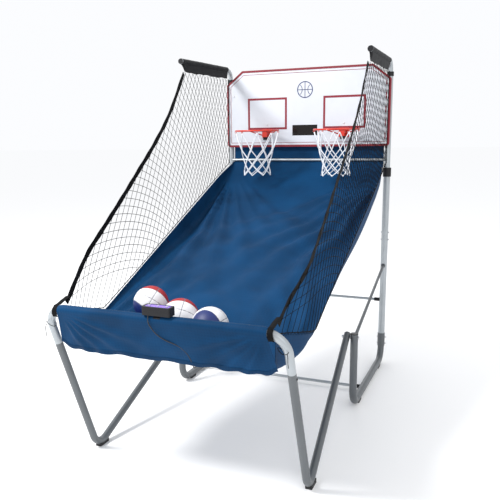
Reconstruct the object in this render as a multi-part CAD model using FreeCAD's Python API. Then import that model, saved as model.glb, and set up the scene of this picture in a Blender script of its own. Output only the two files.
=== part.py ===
"""Two-hoop basketball machine: a folding steel frame with a fabric ball return.

Millimetres. +X is to the player's right, -Y is the player's end, +Z is up.
The origin is on the floor, in the middle of the base.
"""
import FreeCAD, Part
import math
import os

V = FreeCAD.Vector

# ---------------------------------------------------------------- driving sizes
DEPTH = 2235.0            # front of the fabric sleeve to the back of the uprights
HEIGHT = 2083.0           # top of the net arms' sleeves
BOARD_W = 1168.4          # overall width of the board
HEIGHT_STEPS = 6          # the board rises this many holes
STEP_PITCH = 50.8         # between two height holes
FRAME_R = 22.225          # 1 3/4 inch base and upright tube
LEG_R = 19.05             # 1 1/2 inch leg and inner post tube
ARM_GAP = 1.65            # net arm tube inside a post's bore, filled by its collar
BAR_R = 9.5               # 3/4 inch crossbars and braces
TUBE_WALL = 1.5
CLEAR = 0.3               # between solids that touch
SEAT = 0.1                # between curved faces that are seated on each other
RUN_FIT = 0.09            # radial play of a sliding or turning fit

# base
FLOOR_TUBE_Z = 27.0
POST_Y = 200.0            # short post that carries the fold hinge
POST_TOP = 466.0
BASE_BEND = 90.0
STUB_TOP = 150.0          # where the base tube ends inside the rear sleeve
LOWER_BAR_Y = 495.0
MID_BAR_Z = 456.0
BRACE_TOP_Z = 712.0
UPRIGHT_SPLIT_Z = 915.0
UPRIGHT_TOP = 1370.0
SPIGOT_LOW = 55.0         # spigot below and above the split
SPIGOT_HIGH = 40.0
SPLIT_BOLTS = (-28.0, 22.0)
HOLE_Z0 = 1030.0          # lowest height hole
SNAP_R = 5.0
COLLAR_H = 60.0
COLLAR_WALL = 5.0
COLLAR_RISE = 8.0         # collar above the tube it caps
SLEEVE_WALL = 3.0
BOLT_HOLE_R = 3.2
FOOT_PAD_YS = (330.0, 960.0)

# fold hinge
HINGE_Z = 446.0
HINGE_GAP = 3.5           # washer between post and leg
HINGE_BOLT_R = 5.0
WASHER_R = 10.0
WASHER_GAP = 0.9          # the leg leans, so its washer starts this far out

# front legs and bar
FOOT_BACK = 324.5         # front bar back to where a leg's two straights would meet
FOOT_Z = -1.0
FOOT_BEND = 75.0
JOINT_Z = 666.0           # split between leg and front bar
BAR_Z = 854.0
BAR_BEND = 105.0
LEG_SPIGOT = 60.0
LEG_END = 22.0            # leg tube past the hinge axis

# fabric
CLOTH = 4.0
SLEEVE_R = 21.5
RAMP_LOW_BACK = 255.5     # front bar back to the low end of the ramp's edge line
RAMP_LOW_Z = 655.0
SEAM_BACK = 645.5         # the part in front of this seam folds with the legs
RAMP_SAG = 100.0          # the middle hangs this far below its two edges
SEAM_SAG = 45.0
TOP_SAG = 75.0            # under the hoops
TROUGH_TOP_Z = 785.0      # trough cloth at the seam
TROUGH_LOW_BACK = 280.5   # front bar back to where its slope meets its floor
TROUGH_BEND = 210.0
TROUGH_IN = 18.0          # trough narrower than the ramp on each side
FLAP_LOW_Z = 652.0
FLAP_CORNER = 60.0        # slanted ends of the apron
NET_THICK = 2.0
NET_BAND = [(0.0, 1.0), (0.135, 0.795), (0.281, 0.629), (0.538, 0.389), (0.795, 0.167),
            (0.958, 0.016)]   # hem from arm tip to front bar: shares of depth and height

# upper unit
POST_LOW = 968.0          # inner post's lower end
ARM_BEND = 62.0
ARM_TIP_Y = 345.0
ARM_SLEEVE_H = 80.0
BOARD_T = 10.0
BOARD_TOP_HALF = 465.0
BOARD_H = 530.0
BOARD_LOW_R = 20.0
TRIM_W = 14.0
TRIM_T = 2.0
RIM_X = 277.0
RIM_R = 146.0
RIM_ROD = 6.0
RIM_REACH = 60.0          # board to the nearest point of the ring's axis
BRACKET_W = 70.0
BRACKET_H = 62.0
RIM_SCREWS = ((0.0, 41.0), (-27.0, -21.0), (27.0, -21.0))
NET_LEN = 300.0
NET_WAIST_R = 95.0
WINDOW_W = 180.0
WINDOW_H = 72.0
CASE_DEPTH = 46.0
CIRCUIT_IN = 12.0         # display circuit behind the board
CIRCUIT_T = 1.6

# controller
CTRL_X = 12.0
CTRL_W = 136.0
CTRL_D = 52.0
CTRL_H = 38.0
CTRL_WALL = 2.0
CTRL_BASE_H = 20.0
STRAP_T = 2.0
BUTTON_R = 6.0
BUTTON_PITCH = 42.0

BALL_R = 89.0
BALLS_XY = ((-268.0, 415.5), (-62.0, 338.5), (113.0, 295.5))  # x, and behind the front bar

# Route of the controller's lead: x, behind the front bar's axis, above it.  It leaves
# the controller, hangs over the apron and turns under the hem.
LEAD_R = 2.2
LEAD = [(-26, -27.5, 9), (-25, -28, -9), (-19, -19, -30), (-8, -11, -52), (8, -4, -70),
        (28, 1, -84), (50, 5, -94), (74, 8, -101.5), (97, 12, -111), (116, 17, -126),
        (130, 25, -146), (139, 33, -168), (144, 41.5, -190), (145, 48.5, -209),
        (144, 61, -221), (142, 83, -224), (140, 107, -217)]
LEAD_END = (139.0, 128.0)
PLUG_R = 5.0
PLUG_L = 36.0

# ---------------------------------------------------------------- derived sizes
HEIGHT_TRAVEL = HEIGHT_STEPS * STEP_PITCH
BASE_HALF = BOARD_W / 2 - 14.2        # middle of the machine to the axis of an upright
LEG_HALF = BASE_HALF + 12             # ... and of a front leg
UPRIGHT_Y = DEPTH / 2 - FRAME_R
BAR_Y = -DEPTH / 2 + SLEEVE_R + 0.5
FOOT_Y = BAR_Y + FOOT_BACK
HINGE_Y = POST_Y - 2.0
HINGE_X = BASE_HALF - FRAME_R - HINGE_GAP - LEG_R
LEG_DY = (BAR_Y - FOOT_Y) / (BAR_Z - FOOT_Z)      # forward lean of the front arm
JOINT_Y = FOOT_Y + LEG_DY * (JOINT_Z - FOOT_Z)
SLEEVE_BOLTS = (STUB_TOP - 14, STUB_TOP + 32)

BOARD_FRONT = UPRIGHT_Y - 36.6
BOARD_BACK = BOARD_FRONT + BOARD_T
BOARD_TOP = HEIGHT - 30
BOARD_LOW = BOARD_TOP - BOARD_H
BOARD_SIDE_TOP = BOARD_TOP - 95
BOARD_SCREW_ZS = (BOARD_LOW + 77, BOARD_LOW + 357)
RIM_Y = BOARD_FRONT - RIM_REACH - RIM_R
RIM_Z = BOARD_LOW + 114
WINDOW_Z = BOARD_LOW + 113
ARM_R = LEG_R - TUBE_WALL - ARM_GAP
ARM_Z = HEIGHT - CLOTH / 2 - ARM_R
ARM_BASE_Z = HEIGHT - 98
ARM_TIP_X = BASE_HALF + 16
UPPER_BAR_Y = UPRIGHT_Y - 12.3
UPPER_BAR_Z = BOARD_LOW - 92

RAMP_HALF = BASE_HALF - 34
RAMP_TOP_Y = UPPER_BAR_Y + BAR_R + SEAT
RAMP_TOP_Z = UPPER_BAR_Z - 7
RAMP_LOW_Y = BAR_Y + RAMP_LOW_BACK
RAMP_SEAM_Y = BAR_Y + SEAM_BACK
RAMP_SLOPE = (RAMP_TOP_Z - RAMP_LOW_Z) / (RAMP_TOP_Y - RAMP_LOW_Y)
HEAD_TOP_Z = BOARD_LOW + 37
TROUGH_LOW_Y = BAR_Y + TROUGH_LOW_BACK
TROUGH_SLOPE = (TROUGH_TOP_Z - RAMP_LOW_Z) / (RAMP_SEAM_Y - TROUGH_LOW_Y)
FLAP_HALF = BASE_HALF - 50
NET_X = BASE_HALF + 1
NET_TOP_Z = HEIGHT - ARM_SLEEVE_H - CLEAR

CTRL_Y = BAR_Y - 1.5
CTRL_LOW = BAR_Z + SLEEVE_R + STRAP_T + SEAT
CTRL_SPLIT = CTRL_LOW + CTRL_BASE_H
CTRL_TOP = CTRL_LOW + CTRL_H
BUTTON_XS = (CTRL_X - BUTTON_PITCH, CTRL_X, CTRL_X + BUTTON_PITCH)


def ramp_z(y):
    """Height of the return ramp's edge line at depth y."""
    return RAMP_LOW_Z + RAMP_SLOPE * (y - RAMP_LOW_Y)


def apron_y(offset, z):
    """Depth at height z of the leaning plane that lies this far outside the bar's axis."""
    return BAR_Y - offset * math.hypot(1, LEG_DY) + LEG_DY * (z - BAR_Z)


# ---------------------------------------------------------------- helpers
def box(x0, x1, y0, y1, z0, z1):
    return Part.makeBox(x1 - x0, y1 - y0, z1 - z0, V(x0, y0, z0))


def rod(a, b, r):
    a, b = V(*a), V(*b)
    return Part.makeCylinder(r, (b - a).Length, a, b - a)


def ring(a, b, r_out, r_in):
    return rod(a, b, r_out).cut(rod(a, b, r_in))


def rounded_path(points, radius):
    """Straight runs joined by tangent arcs; radius is a number or one per corner."""
    pts = [V(*p) for p in points]
    radii = radius if isinstance(radius, list) else [radius] * (len(pts) - 2)
    edges = []
    start = pts[0]
    for i in range(1, len(pts) - 1):
        before = (pts[i - 1] - pts[i]).normalize()
        after = (pts[i + 1] - pts[i]).normalize()
        half = before.getAngle(after) / 2
        back = radii[i - 1] / math.tan(half)
        t0 = pts[i] + before * back
        t1 = pts[i] + after * back
        middle = (before + after).normalize()
        top = pts[i] + middle * (radii[i - 1] / math.sin(half) - radii[i - 1])
        edges.append(Part.LineSegment(start, t0).toShape())
        edges.append(Part.Arc(t0, top, t1).toShape())
        start = t1
    edges.append(Part.LineSegment(start, pts[-1]).toShape())
    return Part.Wire(edges)


def swept(path, r):
    """Solid of round section r along a path."""
    first = path.Edges[0]
    at = first.valueAt(first.FirstParameter)
    along = first.tangentAt(first.FirstParameter)
    section = Part.Wire([Part.Circle(at, along, r).toShape()])
    return path.makePipeShell([section], True, True)


def tube(points, radius, r, wall=TUBE_WALL):
    path = rounded_path(points, radius)
    return swept(path, r).cut(swept(path, r - wall))


def prism(points, axis, length, radius=None):
    """Closed outline extruded along axis; corners may be rounded."""
    pts = [V(*p) for p in points]
    if radius:
        middle = (pts[-1] + pts[0]) / 2
        wire = rounded_path([middle] + pts + [middle], radius)
    else:
        wire = Part.makePolygon(pts + [pts[0]])
    return Part.Face(wire).extrude(V(*axis) * length)


def edges_along(shape, axis):
    """The straight edges of a solid that run along x, y or z."""
    others = [a for a in "XYZ" if a != axis]
    return [e for e in shape.Edges
            if all(getattr(e.BoundBox, a + "Length") < 1e-3 for a in others)]


def mirrored(shape):
    return shape.mirror(V(0, 0, 0), V(1, 0, 0))


def both(shape):
    """The right-hand solid and its left-hand twin, as one group."""
    return Part.makeCompound([shape, mirrored(shape)])


def group(shapes):
    return Part.makeCompound([s for shape in shapes for s in (shape.Solids or [shape])])


def hexagon(at, axis, across, length):
    """Hexagonal prism that starts at a point and runs along an axis."""
    n = V(*axis)
    u = V(0, 0, 1) if abs(n.z) < 0.9 else V(1, 0, 0)
    w = n.cross(u)
    r = across / math.sqrt(3)
    turns = [math.radians(60 * k) for k in range(6)]
    pts = [V(*at) + u * (r * math.cos(t)) + w * (r * math.sin(t)) for t in turns]
    return Part.Face(Part.makePolygon(pts + [pts[0]])).extrude(n * length)


def bolt(at, axis, grip, r=3.0, across=10.0):
    """Hex bolt and nut through a stack that starts at a point and is grip thick."""
    n = V(*axis)
    p = V(*at)
    head = hexagon(p - n * (1.4 * r), axis, across, 1.4 * r)
    shank = Part.makeCylinder(r, grip + 2.6 * r, p, n)
    nut = hexagon(p + n * grip, axis, across, 1.7 * r)
    return head.fuse([shank, nut]).removeSplitter()


def across_hole(x0, x1, y, z, r):
    return rod((x0, y, z), (x1, y, z), r)


def export(name, shape):
    shape.exportStep("parts/%s.step" % name)
    print("%-22s solids %2d  valid %s  volume %.0f"
          % (name, len(shape.Solids), shape.isValid(), shape.Volume))


# ---------------------------------------------------------------- base frame
def base_loop():
    """Short hinge post, floor tube and rear stub, bent from one tube."""
    points = [(BASE_HALF, POST_Y, POST_TOP), (BASE_HALF, POST_Y, FLOOR_TUBE_Z),
              (BASE_HALF, UPRIGHT_Y, FLOOR_TUBE_Z), (BASE_HALF, UPRIGHT_Y, STUB_TOP)]
    body = tube(points, BASE_BEND, FRAME_R)
    hole = across_hole(0, 2 * BASE_HALF, HINGE_Y, HINGE_Z, HINGE_BOLT_R + CLEAR)
    return body.cut(hole)


def post_cap():
    cap = rod((BASE_HALF, POST_Y, POST_TOP), (BASE_HALF, POST_Y, POST_TOP + 5), FRAME_R + 0.8)
    cap = cap.makeFillet(2.0, [cap.Edges[0]])
    plug = rod((BASE_HALF, POST_Y, POST_TOP - 6), (BASE_HALF, POST_Y, POST_TOP),
               FRAME_R - TUBE_WALL - SEAT)
    return cap.fuse(plug)


def rear_sleeve():
    """Bolted sleeve that joins the base stub to the upright."""
    low = FLOOR_TUBE_Z + BASE_BEND + 2
    high = STUB_TOP + 62
    return ring((BASE_HALF, UPRIGHT_Y, low), (BASE_HALF, UPRIGHT_Y, high),
                FRAME_R + SLEEVE_WALL, FRAME_R + 1.5 * SEAT)


def through_upright(shape, zs):
    """Bolt holes across an upright at the given heights."""
    reach = FRAME_R + 9
    for z in zs:
        shape = shape.cut(across_hole(BASE_HALF - reach, BASE_HALF + reach, UPRIGHT_Y, z,
                                      BOLT_HOLE_R))
    return shape


def upright_lower():
    body = ring((BASE_HALF, UPRIGHT_Y, STUB_TOP + CLEAR),
                (BASE_HALF, UPRIGHT_Y, UPRIGHT_SPLIT_Z), FRAME_R, FRAME_R - TUBE_WALL)
    return through_upright(body, [SLEEVE_BOLTS[1], UPRIGHT_SPLIT_Z + SPLIT_BOLTS[0]])


def upright_spigot():
    """Inner tube that joins the two lengths of an upright."""
    r = FRAME_R - TUBE_WALL - SEAT
    body = ring((BASE_HALF, UPRIGHT_Y, UPRIGHT_SPLIT_Z - SPIGOT_LOW),
                (BASE_HALF, UPRIGHT_Y, UPRIGHT_SPLIT_Z + SPIGOT_HIGH), r, r - TUBE_WALL)
    return through_upright(body, [UPRIGHT_SPLIT_Z + dz for dz in SPLIT_BOLTS])


def upright_upper():
    """Outer telescope tube with the row of height holes in its back."""
    body = ring((BASE_HALF, UPRIGHT_Y, UPRIGHT_SPLIT_Z + CLEAR),
                (BASE_HALF, UPRIGHT_Y, UPRIGHT_TOP), FRAME_R, FRAME_R - TUBE_WALL)
    for k in range(HEIGHT_STEPS + 1):
        z = HOLE_Z0 + k * STEP_PITCH
        hole = rod((BASE_HALF, UPRIGHT_Y, z), (BASE_HALF, UPRIGHT_Y + FRAME_R + 5, z),
                   SNAP_R + CLEAR)
        body = body.cut(hole)
    return through_upright(body, [UPRIGHT_SPLIT_Z + SPLIT_BOLTS[1]])


def height_collar():
    """Moulded collar on top of the outer tube that guides the inner post."""
    low = UPRIGHT_TOP - COLLAR_H + COLLAR_RISE
    body = rod((BASE_HALF, UPRIGHT_Y, low), (BASE_HALF, UPRIGHT_Y, UPRIGHT_TOP + COLLAR_RISE),
               FRAME_R + COLLAR_WALL)
    body = body.makeFillet(2.0, [body.Edges[0], body.Edges[2]])
    body = body.cut(rod((BASE_HALF, UPRIGHT_Y, low - 1), (BASE_HALF, UPRIGHT_Y, UPRIGHT_TOP),
                        FRAME_R + SEAT))
    body = body.cut(rod((BASE_HALF, UPRIGHT_Y, low), (BASE_HALF, UPRIGHT_Y, HEIGHT),
                        LEG_R + RUN_FIT))
    top_hole = HOLE_Z0 + HEIGHT_STEPS * STEP_PITCH
    return body.cut(rod((BASE_HALF, UPRIGHT_Y, top_hole),
                        (BASE_HALF, UPRIGHT_Y + FRAME_R + 2 * COLLAR_WALL, top_hole),
                        SNAP_R + CLEAR))


def brace():
    """Diagonal tube from the hinge post to the upright, with cupped ends."""
    low = V(BASE_HALF, POST_Y, HINGE_Z - 8)
    high = V(BASE_HALF, UPRIGHT_Y, BRACE_TOP_Z)
    along = (high - low).normalize()
    body = ring(tuple(low), tuple(high), BAR_R, BAR_R - TUBE_WALL)
    for end, sign in ((low, 1), (high, -1)):
        cup = rod(tuple(end), tuple(end + along * (sign * (FRAME_R + 7))), BAR_R + 5)
        body = body.fuse(cup)
    for y in (POST_Y, UPRIGHT_Y):
        body = body.cut(rod((BASE_HALF, y, 0), (BASE_HALF, y, HEIGHT), FRAME_R + SEAT))
    return max(body.Solids, key=lambda s: s.Volume)


def cross_tube(y, z, half, r=BAR_R):
    return ring((-half, y, z), (half, y, z), r, r - TUBE_WALL)


def bar_end(y, z, outer_r, at_x, tube_axis):
    """Socket that holds a crossbar's end against a frame tube."""
    socket = rod((at_x - outer_r - 34, y, z), (at_x, y, z), BAR_R + 3.2)
    socket = socket.cut(rod((0, y, z), (at_x - outer_r - 4, y, z), BAR_R))
    a = V(at_x, y, z) - V(*tube_axis) * 200
    b = V(at_x, y, z) + V(*tube_axis) * 200
    return max(socket.cut(rod(tuple(a), tuple(b), outer_r + SEAT)).Solids,
               key=lambda s: s.Volume)


def base_foot(y):
    """Moulded rubber pad that cups the floor tube."""
    pad = box(BASE_HALF - 19, BASE_HALF + 19, y - 34, y + 34, 0, FLOOR_TUBE_Z - 4)
    pad = pad.makeFillet(3.0, edges_along(pad, "Z"))
    return pad.cut(rod((BASE_HALF, y - 60, FLOOR_TUBE_Z), (BASE_HALF, y + 60, FLOOR_TUBE_Z),
                       FRAME_R + SEAT))


def hinge_bolt():
    x0 = HINGE_X - LEG_R
    x1 = BASE_HALF + FRAME_R
    shank = rod((x0 - 9, HINGE_Y, HINGE_Z), (x1, HINGE_Y, HINGE_Z), HINGE_BOLT_R)
    head = hexagon((x1, HINGE_Y, HINGE_Z), (1, 0, 0), 16.0, 6.0)
    nut = hexagon((x0 - WASHER_GAP, HINGE_Y, HINGE_Z), (-1, 0, 0), 16.0, 7.5)
    return head.fuse([shank, nut])


def hinge_washer():
    gap0 = HINGE_X + LEG_R
    return ring((gap0 + WASHER_GAP, HINGE_Y, HINGE_Z),
                (BASE_HALF - FRAME_R, HINGE_Y, HINGE_Z), WASHER_R, HINGE_BOLT_R)


# ---------------------------------------------------------------- folding front
def leg_points():
    lean = (V(HINGE_X, HINGE_Y, HINGE_Z) - V(LEG_HALF, FOOT_Y, FOOT_Z)).normalize()
    end = V(HINGE_X, HINGE_Y, HINGE_Z) + lean * LEG_END
    return [(LEG_HALF, JOINT_Y, JOINT_Z), (LEG_HALF, FOOT_Y, FOOT_Z), tuple(end)]


def front_leg():
    body = tube(leg_points(), FOOT_BEND, LEG_R)
    return body.cut(across_hole(0, 2 * BASE_HALF, HINGE_Y, HINGE_Z, HINGE_BOLT_R + RUN_FIT))


def leg_cap():
    end = V(*leg_points()[-1])
    along = (end - V(LEG_HALF, FOOT_Y, FOOT_Z)).normalize()
    plug = rod(tuple(end - along * 5), tuple(end), LEG_R - TUBE_WALL - SEAT)
    return plug.fuse(rod(tuple(end), tuple(end + along * 4), LEG_R))


def front_foot():
    """Rubber shoe under the bend of a leg."""
    shoe = box(LEG_HALF - 17, LEG_HALF + 17, FOOT_Y + 6, FOOT_Y + 84, 0, 22)
    shoe = shoe.makeFillet(3.0, edges_along(shoe, "Z"))
    return shoe.cut(swept(rounded_path(leg_points(), FOOT_BEND), LEG_R + SEAT))


def bar_path():
    return [(LEG_HALF, JOINT_Y, JOINT_Z), (LEG_HALF, BAR_Y, BAR_Z),
            (-LEG_HALF, BAR_Y, BAR_Z), (-LEG_HALF, JOINT_Y, JOINT_Z)]


def front_bar():
    """U-shaped bar at the player's end; its reduced ends push into the legs."""
    body = tube(bar_path(), BAR_BEND, LEG_R)
    down = V(0, JOINT_Y - FOOT_Y, JOINT_Z - FOOT_Z).normalize() * -1
    for side in (1, -1):
        top = V(side * LEG_HALF, JOINT_Y, JOINT_Z)
        spigot = ring(tuple(top - down * 8), tuple(top + down * LEG_SPIGOT),
                      LEG_R - TUBE_WALL - RUN_FIT, LEG_R - 2 * TUBE_WALL)
        body = body.fuse(spigot)
    return body


def joint_button():
    """Button that locks the front bar in a leg, seen on the outer side."""
    along = V(0, JOINT_Y - FOOT_Y, JOINT_Z - FOOT_Z).normalize()
    at = V(LEG_HALF, JOINT_Y, JOINT_Z) - along * 30
    dome = Part.makeSphere(7.0, at + V(LEG_R - 3.5, 0, 0))
    keep = rod((at.x + LEG_R + SEAT, at.y, at.z), (at.x + LEG_R + 10, at.y, at.z), 7.5)
    return dome.common(keep)


# ---------------------------------------------------------------- fabric
def sheet_from_line(points, bend, half, thick):
    """Cloth of even thickness below a line that curves upwards, seen from the side."""
    pts = [V(0, y, z) for y, z in points]
    runs = [(b - a).normalize() for a, b in zip(pts, pts[1:])]
    normals = [V(0, d.z, -d.y) if d.y > 0 else V(0, -d.z, d.y) for d in runs]
    under = [pts[0] + normals[0] * thick]
    for n0, n1, p in zip(normals, normals[1:], pts[1:-1]):
        under.append(p + (n0 + n1) * (thick / (1 + n0.dot(n1))))
    under.append(pts[-1] + normals[-1] * thick)
    top = rounded_path([tuple(p) for p in pts], bend)
    low = rounded_path([tuple(p) for p in under[::-1]], bend + thick)
    ends = [Part.LineSegment(pts[-1], under[-1]).toShape(),
            Part.LineSegment(under[0], pts[0]).toShape()]
    face = Part.Face(Part.Wire(top.Edges + [ends[0]] + low.Edges + [ends[1]]))
    return face.extrude(V(2 * half, 0, 0)).translated(V(-half, 0, 0))


def ramp_trough():
    """Lower end of the ramp, curved into a floor behind the front apron."""
    start = RAMP_SEAM_Y - 2.0
    front = apron_y(LEG_R + CLEAR / 2, RAMP_LOW_Z - CLOTH) + CLEAR
    line = [(start, RAMP_LOW_Z + TROUGH_SLOPE * (start - TROUGH_LOW_Y)),
            (TROUGH_LOW_Y, RAMP_LOW_Z), (front, RAMP_LOW_Z)]
    return sheet_from_line(line, TROUGH_BEND, RAMP_HALF - TROUGH_IN, CLOTH)


def ramp_section(y, sag):
    """Cross-section of the ramp: straight strips that hang down to the middle."""
    top = [(-RAMP_HALF, 0.0), (-RAMP_HALF * 0.55, 0.8), (0, 1.0),
           (RAMP_HALF * 0.55, 0.8), (RAMP_HALF, 0.0)]
    over = [V(x, y, ramp_z(y) - sag * share) for x, share in top]
    under = [p - V(0, 0, CLOTH) for p in over[::-1]]
    return Part.makePolygon(over + under + [over[0]])


def ramp_sheet():
    """Sloping return from the seam up to the upper crossbar, slack in its middle."""
    middle = (RAMP_SEAM_Y + RAMP_TOP_Y) / 2
    sags = [(RAMP_SEAM_Y, SEAM_SAG), (middle - 250, RAMP_SAG), (middle + 300, RAMP_SAG),
            (RIM_Y + RIM_R - 50, TOP_SAG), (RAMP_TOP_Y - CLEAR, 0.0)]
    return Part.makeLoft([ramp_section(y, sag) for y, sag in sags], True, True)


def ramp_head():
    """Top of the ramp cloth, hung behind the board."""
    low = ramp_z(RAMP_TOP_Y) + CLEAR
    return box(-RAMP_HALF, RAMP_HALF, RAMP_TOP_Y, RAMP_TOP_Y + CLOTH / 2, low, HEAD_TOP_Z)


def front_apron():
    """Cloth sleeve round the front bar with the apron that hangs from it."""
    half = FLAP_HALF - FLAP_CORNER
    sleeve = ring((-half, BAR_Y, BAR_Z), (half, BAR_Y, BAR_Z), SLEEVE_R, LEG_R + CLEAR)
    out = V(0, -1, LEG_DY).normalize()
    top = V(0, BAR_Y, BAR_Z) + out * SLEEVE_R
    low = V(0, apron_y(SLEEVE_R, FLAP_LOW_Z), FLAP_LOW_Z)
    inward = out * (LEG_R + CLEAR / 2 - SLEEVE_R)
    line = [top, low, low + inward, top + inward, top]
    apron = Part.Face(Part.makePolygon(line))
    apron = apron.extrude(V(2 * FLAP_HALF, 0, 0)).translated(V(-FLAP_HALF, 0, 0))
    for x0, x1 in ((-half, -FLAP_HALF), (half, FLAP_HALF)):
        corner = prism([(x0, 0, BAR_Z + 60), (x1, 0, BAR_Z - 45), (x1, 0, BAR_Z + 60)],
                       (0, 1, 0), 400).translated(V(0, BAR_Y - 100, 0))
        apron = apron.cut(corner)
    return sleeve.fuse(apron)


def side_net():
    """Flat panel with the outline of a side net."""
    back = BOARD_FRONT - 8
    low = [(y, ramp_z(y) + 12) for y in (back, RAMP_SEAM_Y, RAMP_LOW_Y + 60)]
    hem = [(ARM_TIP_Y + (BAR_Y - ARM_TIP_Y) * along, BAR_Z + (NET_TOP_Z - BAR_Z) * up)
           for along, up in NET_BAND]
    pts = [(NET_X, y, z) for y, z in [(back, NET_TOP_Z)] + hem + low[::-1]]
    return prism(pts, (1, 0, 0), NET_THICK)


# ---------------------------------------------------------------- upper unit
def inner_post():
    body = ring((BASE_HALF, UPRIGHT_Y, POST_LOW), (BASE_HALF, UPRIGHT_Y, ARM_BASE_Z),
                LEG_R, LEG_R - TUBE_WALL)
    hole = rod((BASE_HALF, UPRIGHT_Y, HOLE_Z0), (BASE_HALF, UPRIGHT_Y + FRAME_R + 5, HOLE_Z0),
               SNAP_R + RUN_FIT)
    return body.cut(hole)


def net_arm():
    """Tube that carries a side net: up out of the post, then forwards."""
    points = [(BASE_HALF, UPRIGHT_Y, ARM_BASE_Z - 50), (BASE_HALF, UPRIGHT_Y, ARM_Z),
              (ARM_TIP_X, ARM_TIP_Y, ARM_Z)]
    return tube(points, ARM_BEND, ARM_R)


def arm_collar():
    """Moulded ring where the arm enters the post."""
    z = ARM_BASE_Z
    bore = ARM_R + SEAT
    body = ring((BASE_HALF, UPRIGHT_Y, z), (BASE_HALF, UPRIGHT_Y, z + 14), LEG_R + 3, bore)
    skirt = ring((BASE_HALF, UPRIGHT_Y, z - 14), (BASE_HALF, UPRIGHT_Y, z),
                 LEG_R + 3, LEG_R + SEAT)
    bush = ring((BASE_HALF, UPRIGHT_Y, z - 50), (BASE_HALF, UPRIGHT_Y, z),
                LEG_R - TUBE_WALL - SEAT, bore)
    return body.fuse([skirt, bush]).removeSplitter()


def arm_tip_cap():
    along = V(ARM_TIP_X - BASE_HALF, ARM_TIP_Y - UPRIGHT_Y, 0).normalize()
    tip = V(ARM_TIP_X, ARM_TIP_Y, ARM_Z)
    plug = rod(tuple(tip - along * 6), tuple(tip), ARM_R - TUBE_WALL - SEAT)
    return plug.fuse(rod(tuple(tip), tuple(tip + along * 4), ARM_R))


def arm_sleeve():
    """Folded cloth over an arm; the net hangs from its lower edge."""
    along = V(ARM_TIP_X - BASE_HALF, ARM_TIP_Y - UPRIGHT_Y, 0).normalize()
    start = V(BASE_HALF, UPRIGHT_Y, ARM_Z) + along * (ARM_BEND + 12)
    end = V(ARM_TIP_X, ARM_TIP_Y, ARM_Z) - along * 6
    drop = ARM_SLEEVE_H - ARM_R - CLOTH / 2
    skirt = Part.makeBox((end - start).Length, CLOTH, drop)
    skirt.translate(V(0, -CLOTH / 2, -drop))
    skirt.rotate(V(0, 0, 0), V(0, 0, 1), math.degrees(math.atan2(along.y, along.x)))
    skirt.translate(start)
    pipe = rod(tuple(start), tuple(end), ARM_R + CLOTH / 2)
    return pipe.fuse(skirt).cut(rod(tuple(start), tuple(end), ARM_R + CLEAR))


def upper_crossbar():
    """Light bar between the inner posts that the ramp hangs behind."""
    half = BASE_HALF - 10
    bar = ring((-half, UPPER_BAR_Y, UPPER_BAR_Z), (half, UPPER_BAR_Y, UPPER_BAR_Z),
               BAR_R, BAR_R - TUBE_WALL)
    for side in (1, -1):
        post = rod((side * BASE_HALF, UPRIGHT_Y, UPPER_BAR_Z - 60),
                   (side * BASE_HALF, UPRIGHT_Y, UPPER_BAR_Z + 60), LEG_R + SEAT)
        bar = bar.cut(post)
    return max(bar.Solids, key=lambda s: s.Volume)


def board_outline(grow, y):
    half, top_half = BOARD_W / 2 + grow, BOARD_TOP_HALF + grow * 0.4
    low, top, side = BOARD_LOW - grow, BOARD_TOP + grow, BOARD_SIDE_TOP + grow * 0.4
    return [(-half, y, low), (half, y, low), (half, y, side), (top_half, y, top),
            (-top_half, y, top), (-half, y, side)]


def window_box(grow, y0, y1):
    return box(-WINDOW_W / 2 - grow, WINDOW_W / 2 + grow, y0, y1,
               WINDOW_Z - WINDOW_H / 2 - grow, WINDOW_Z + WINDOW_H / 2 + grow)


def backboard():
    outline = board_outline(-2.0, BOARD_FRONT)
    panel = prism(outline, (0, 1, 0), BOARD_T, [BOARD_LOW_R, BOARD_LOW_R, 8, 8, 8, 8])
    return panel.cut(window_box(0, BOARD_FRONT - 5, BOARD_BACK + 5))


def board_trim():
    """Moulded edging pushed over the panel's rim."""
    radii = [BOARD_LOW_R + 2, BOARD_LOW_R + 2, 10, 10, 10, 10]
    outer = prism(board_outline(0, BOARD_FRONT - TRIM_T), (0, 1, 0), BOARD_T + 2 * TRIM_T, radii)
    core = prism(board_outline(-2.0, BOARD_FRONT), (0, 1, 0), BOARD_T,
                 [BOARD_LOW_R, BOARD_LOW_R, 8, 8, 8, 8])
    opening = prism(board_outline(-TRIM_W, BOARD_FRONT - 10), (0, 1, 0), BOARD_T + 20,
                    [12, 12, 6, 6, 6, 6])
    return outer.cut(core).cut(opening)


def rim(side):
    torus = Part.makeTorus(RIM_R, RIM_ROD, V(side * RIM_X, RIM_Y, RIM_Z))
    hooks = []
    for k in range(8):
        a = math.radians(22.5 + 45 * k)
        at = V(side * RIM_X + RIM_R * math.cos(a), RIM_Y + RIM_R * math.sin(a), RIM_Z - RIM_ROD)
        hooks.append(Part.makeTorus(5.0, 1.6, at - V(0, 0, 4.0),
                                    V(-math.sin(a), math.cos(a), 0)))
    return torus.fuse(hooks)


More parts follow.
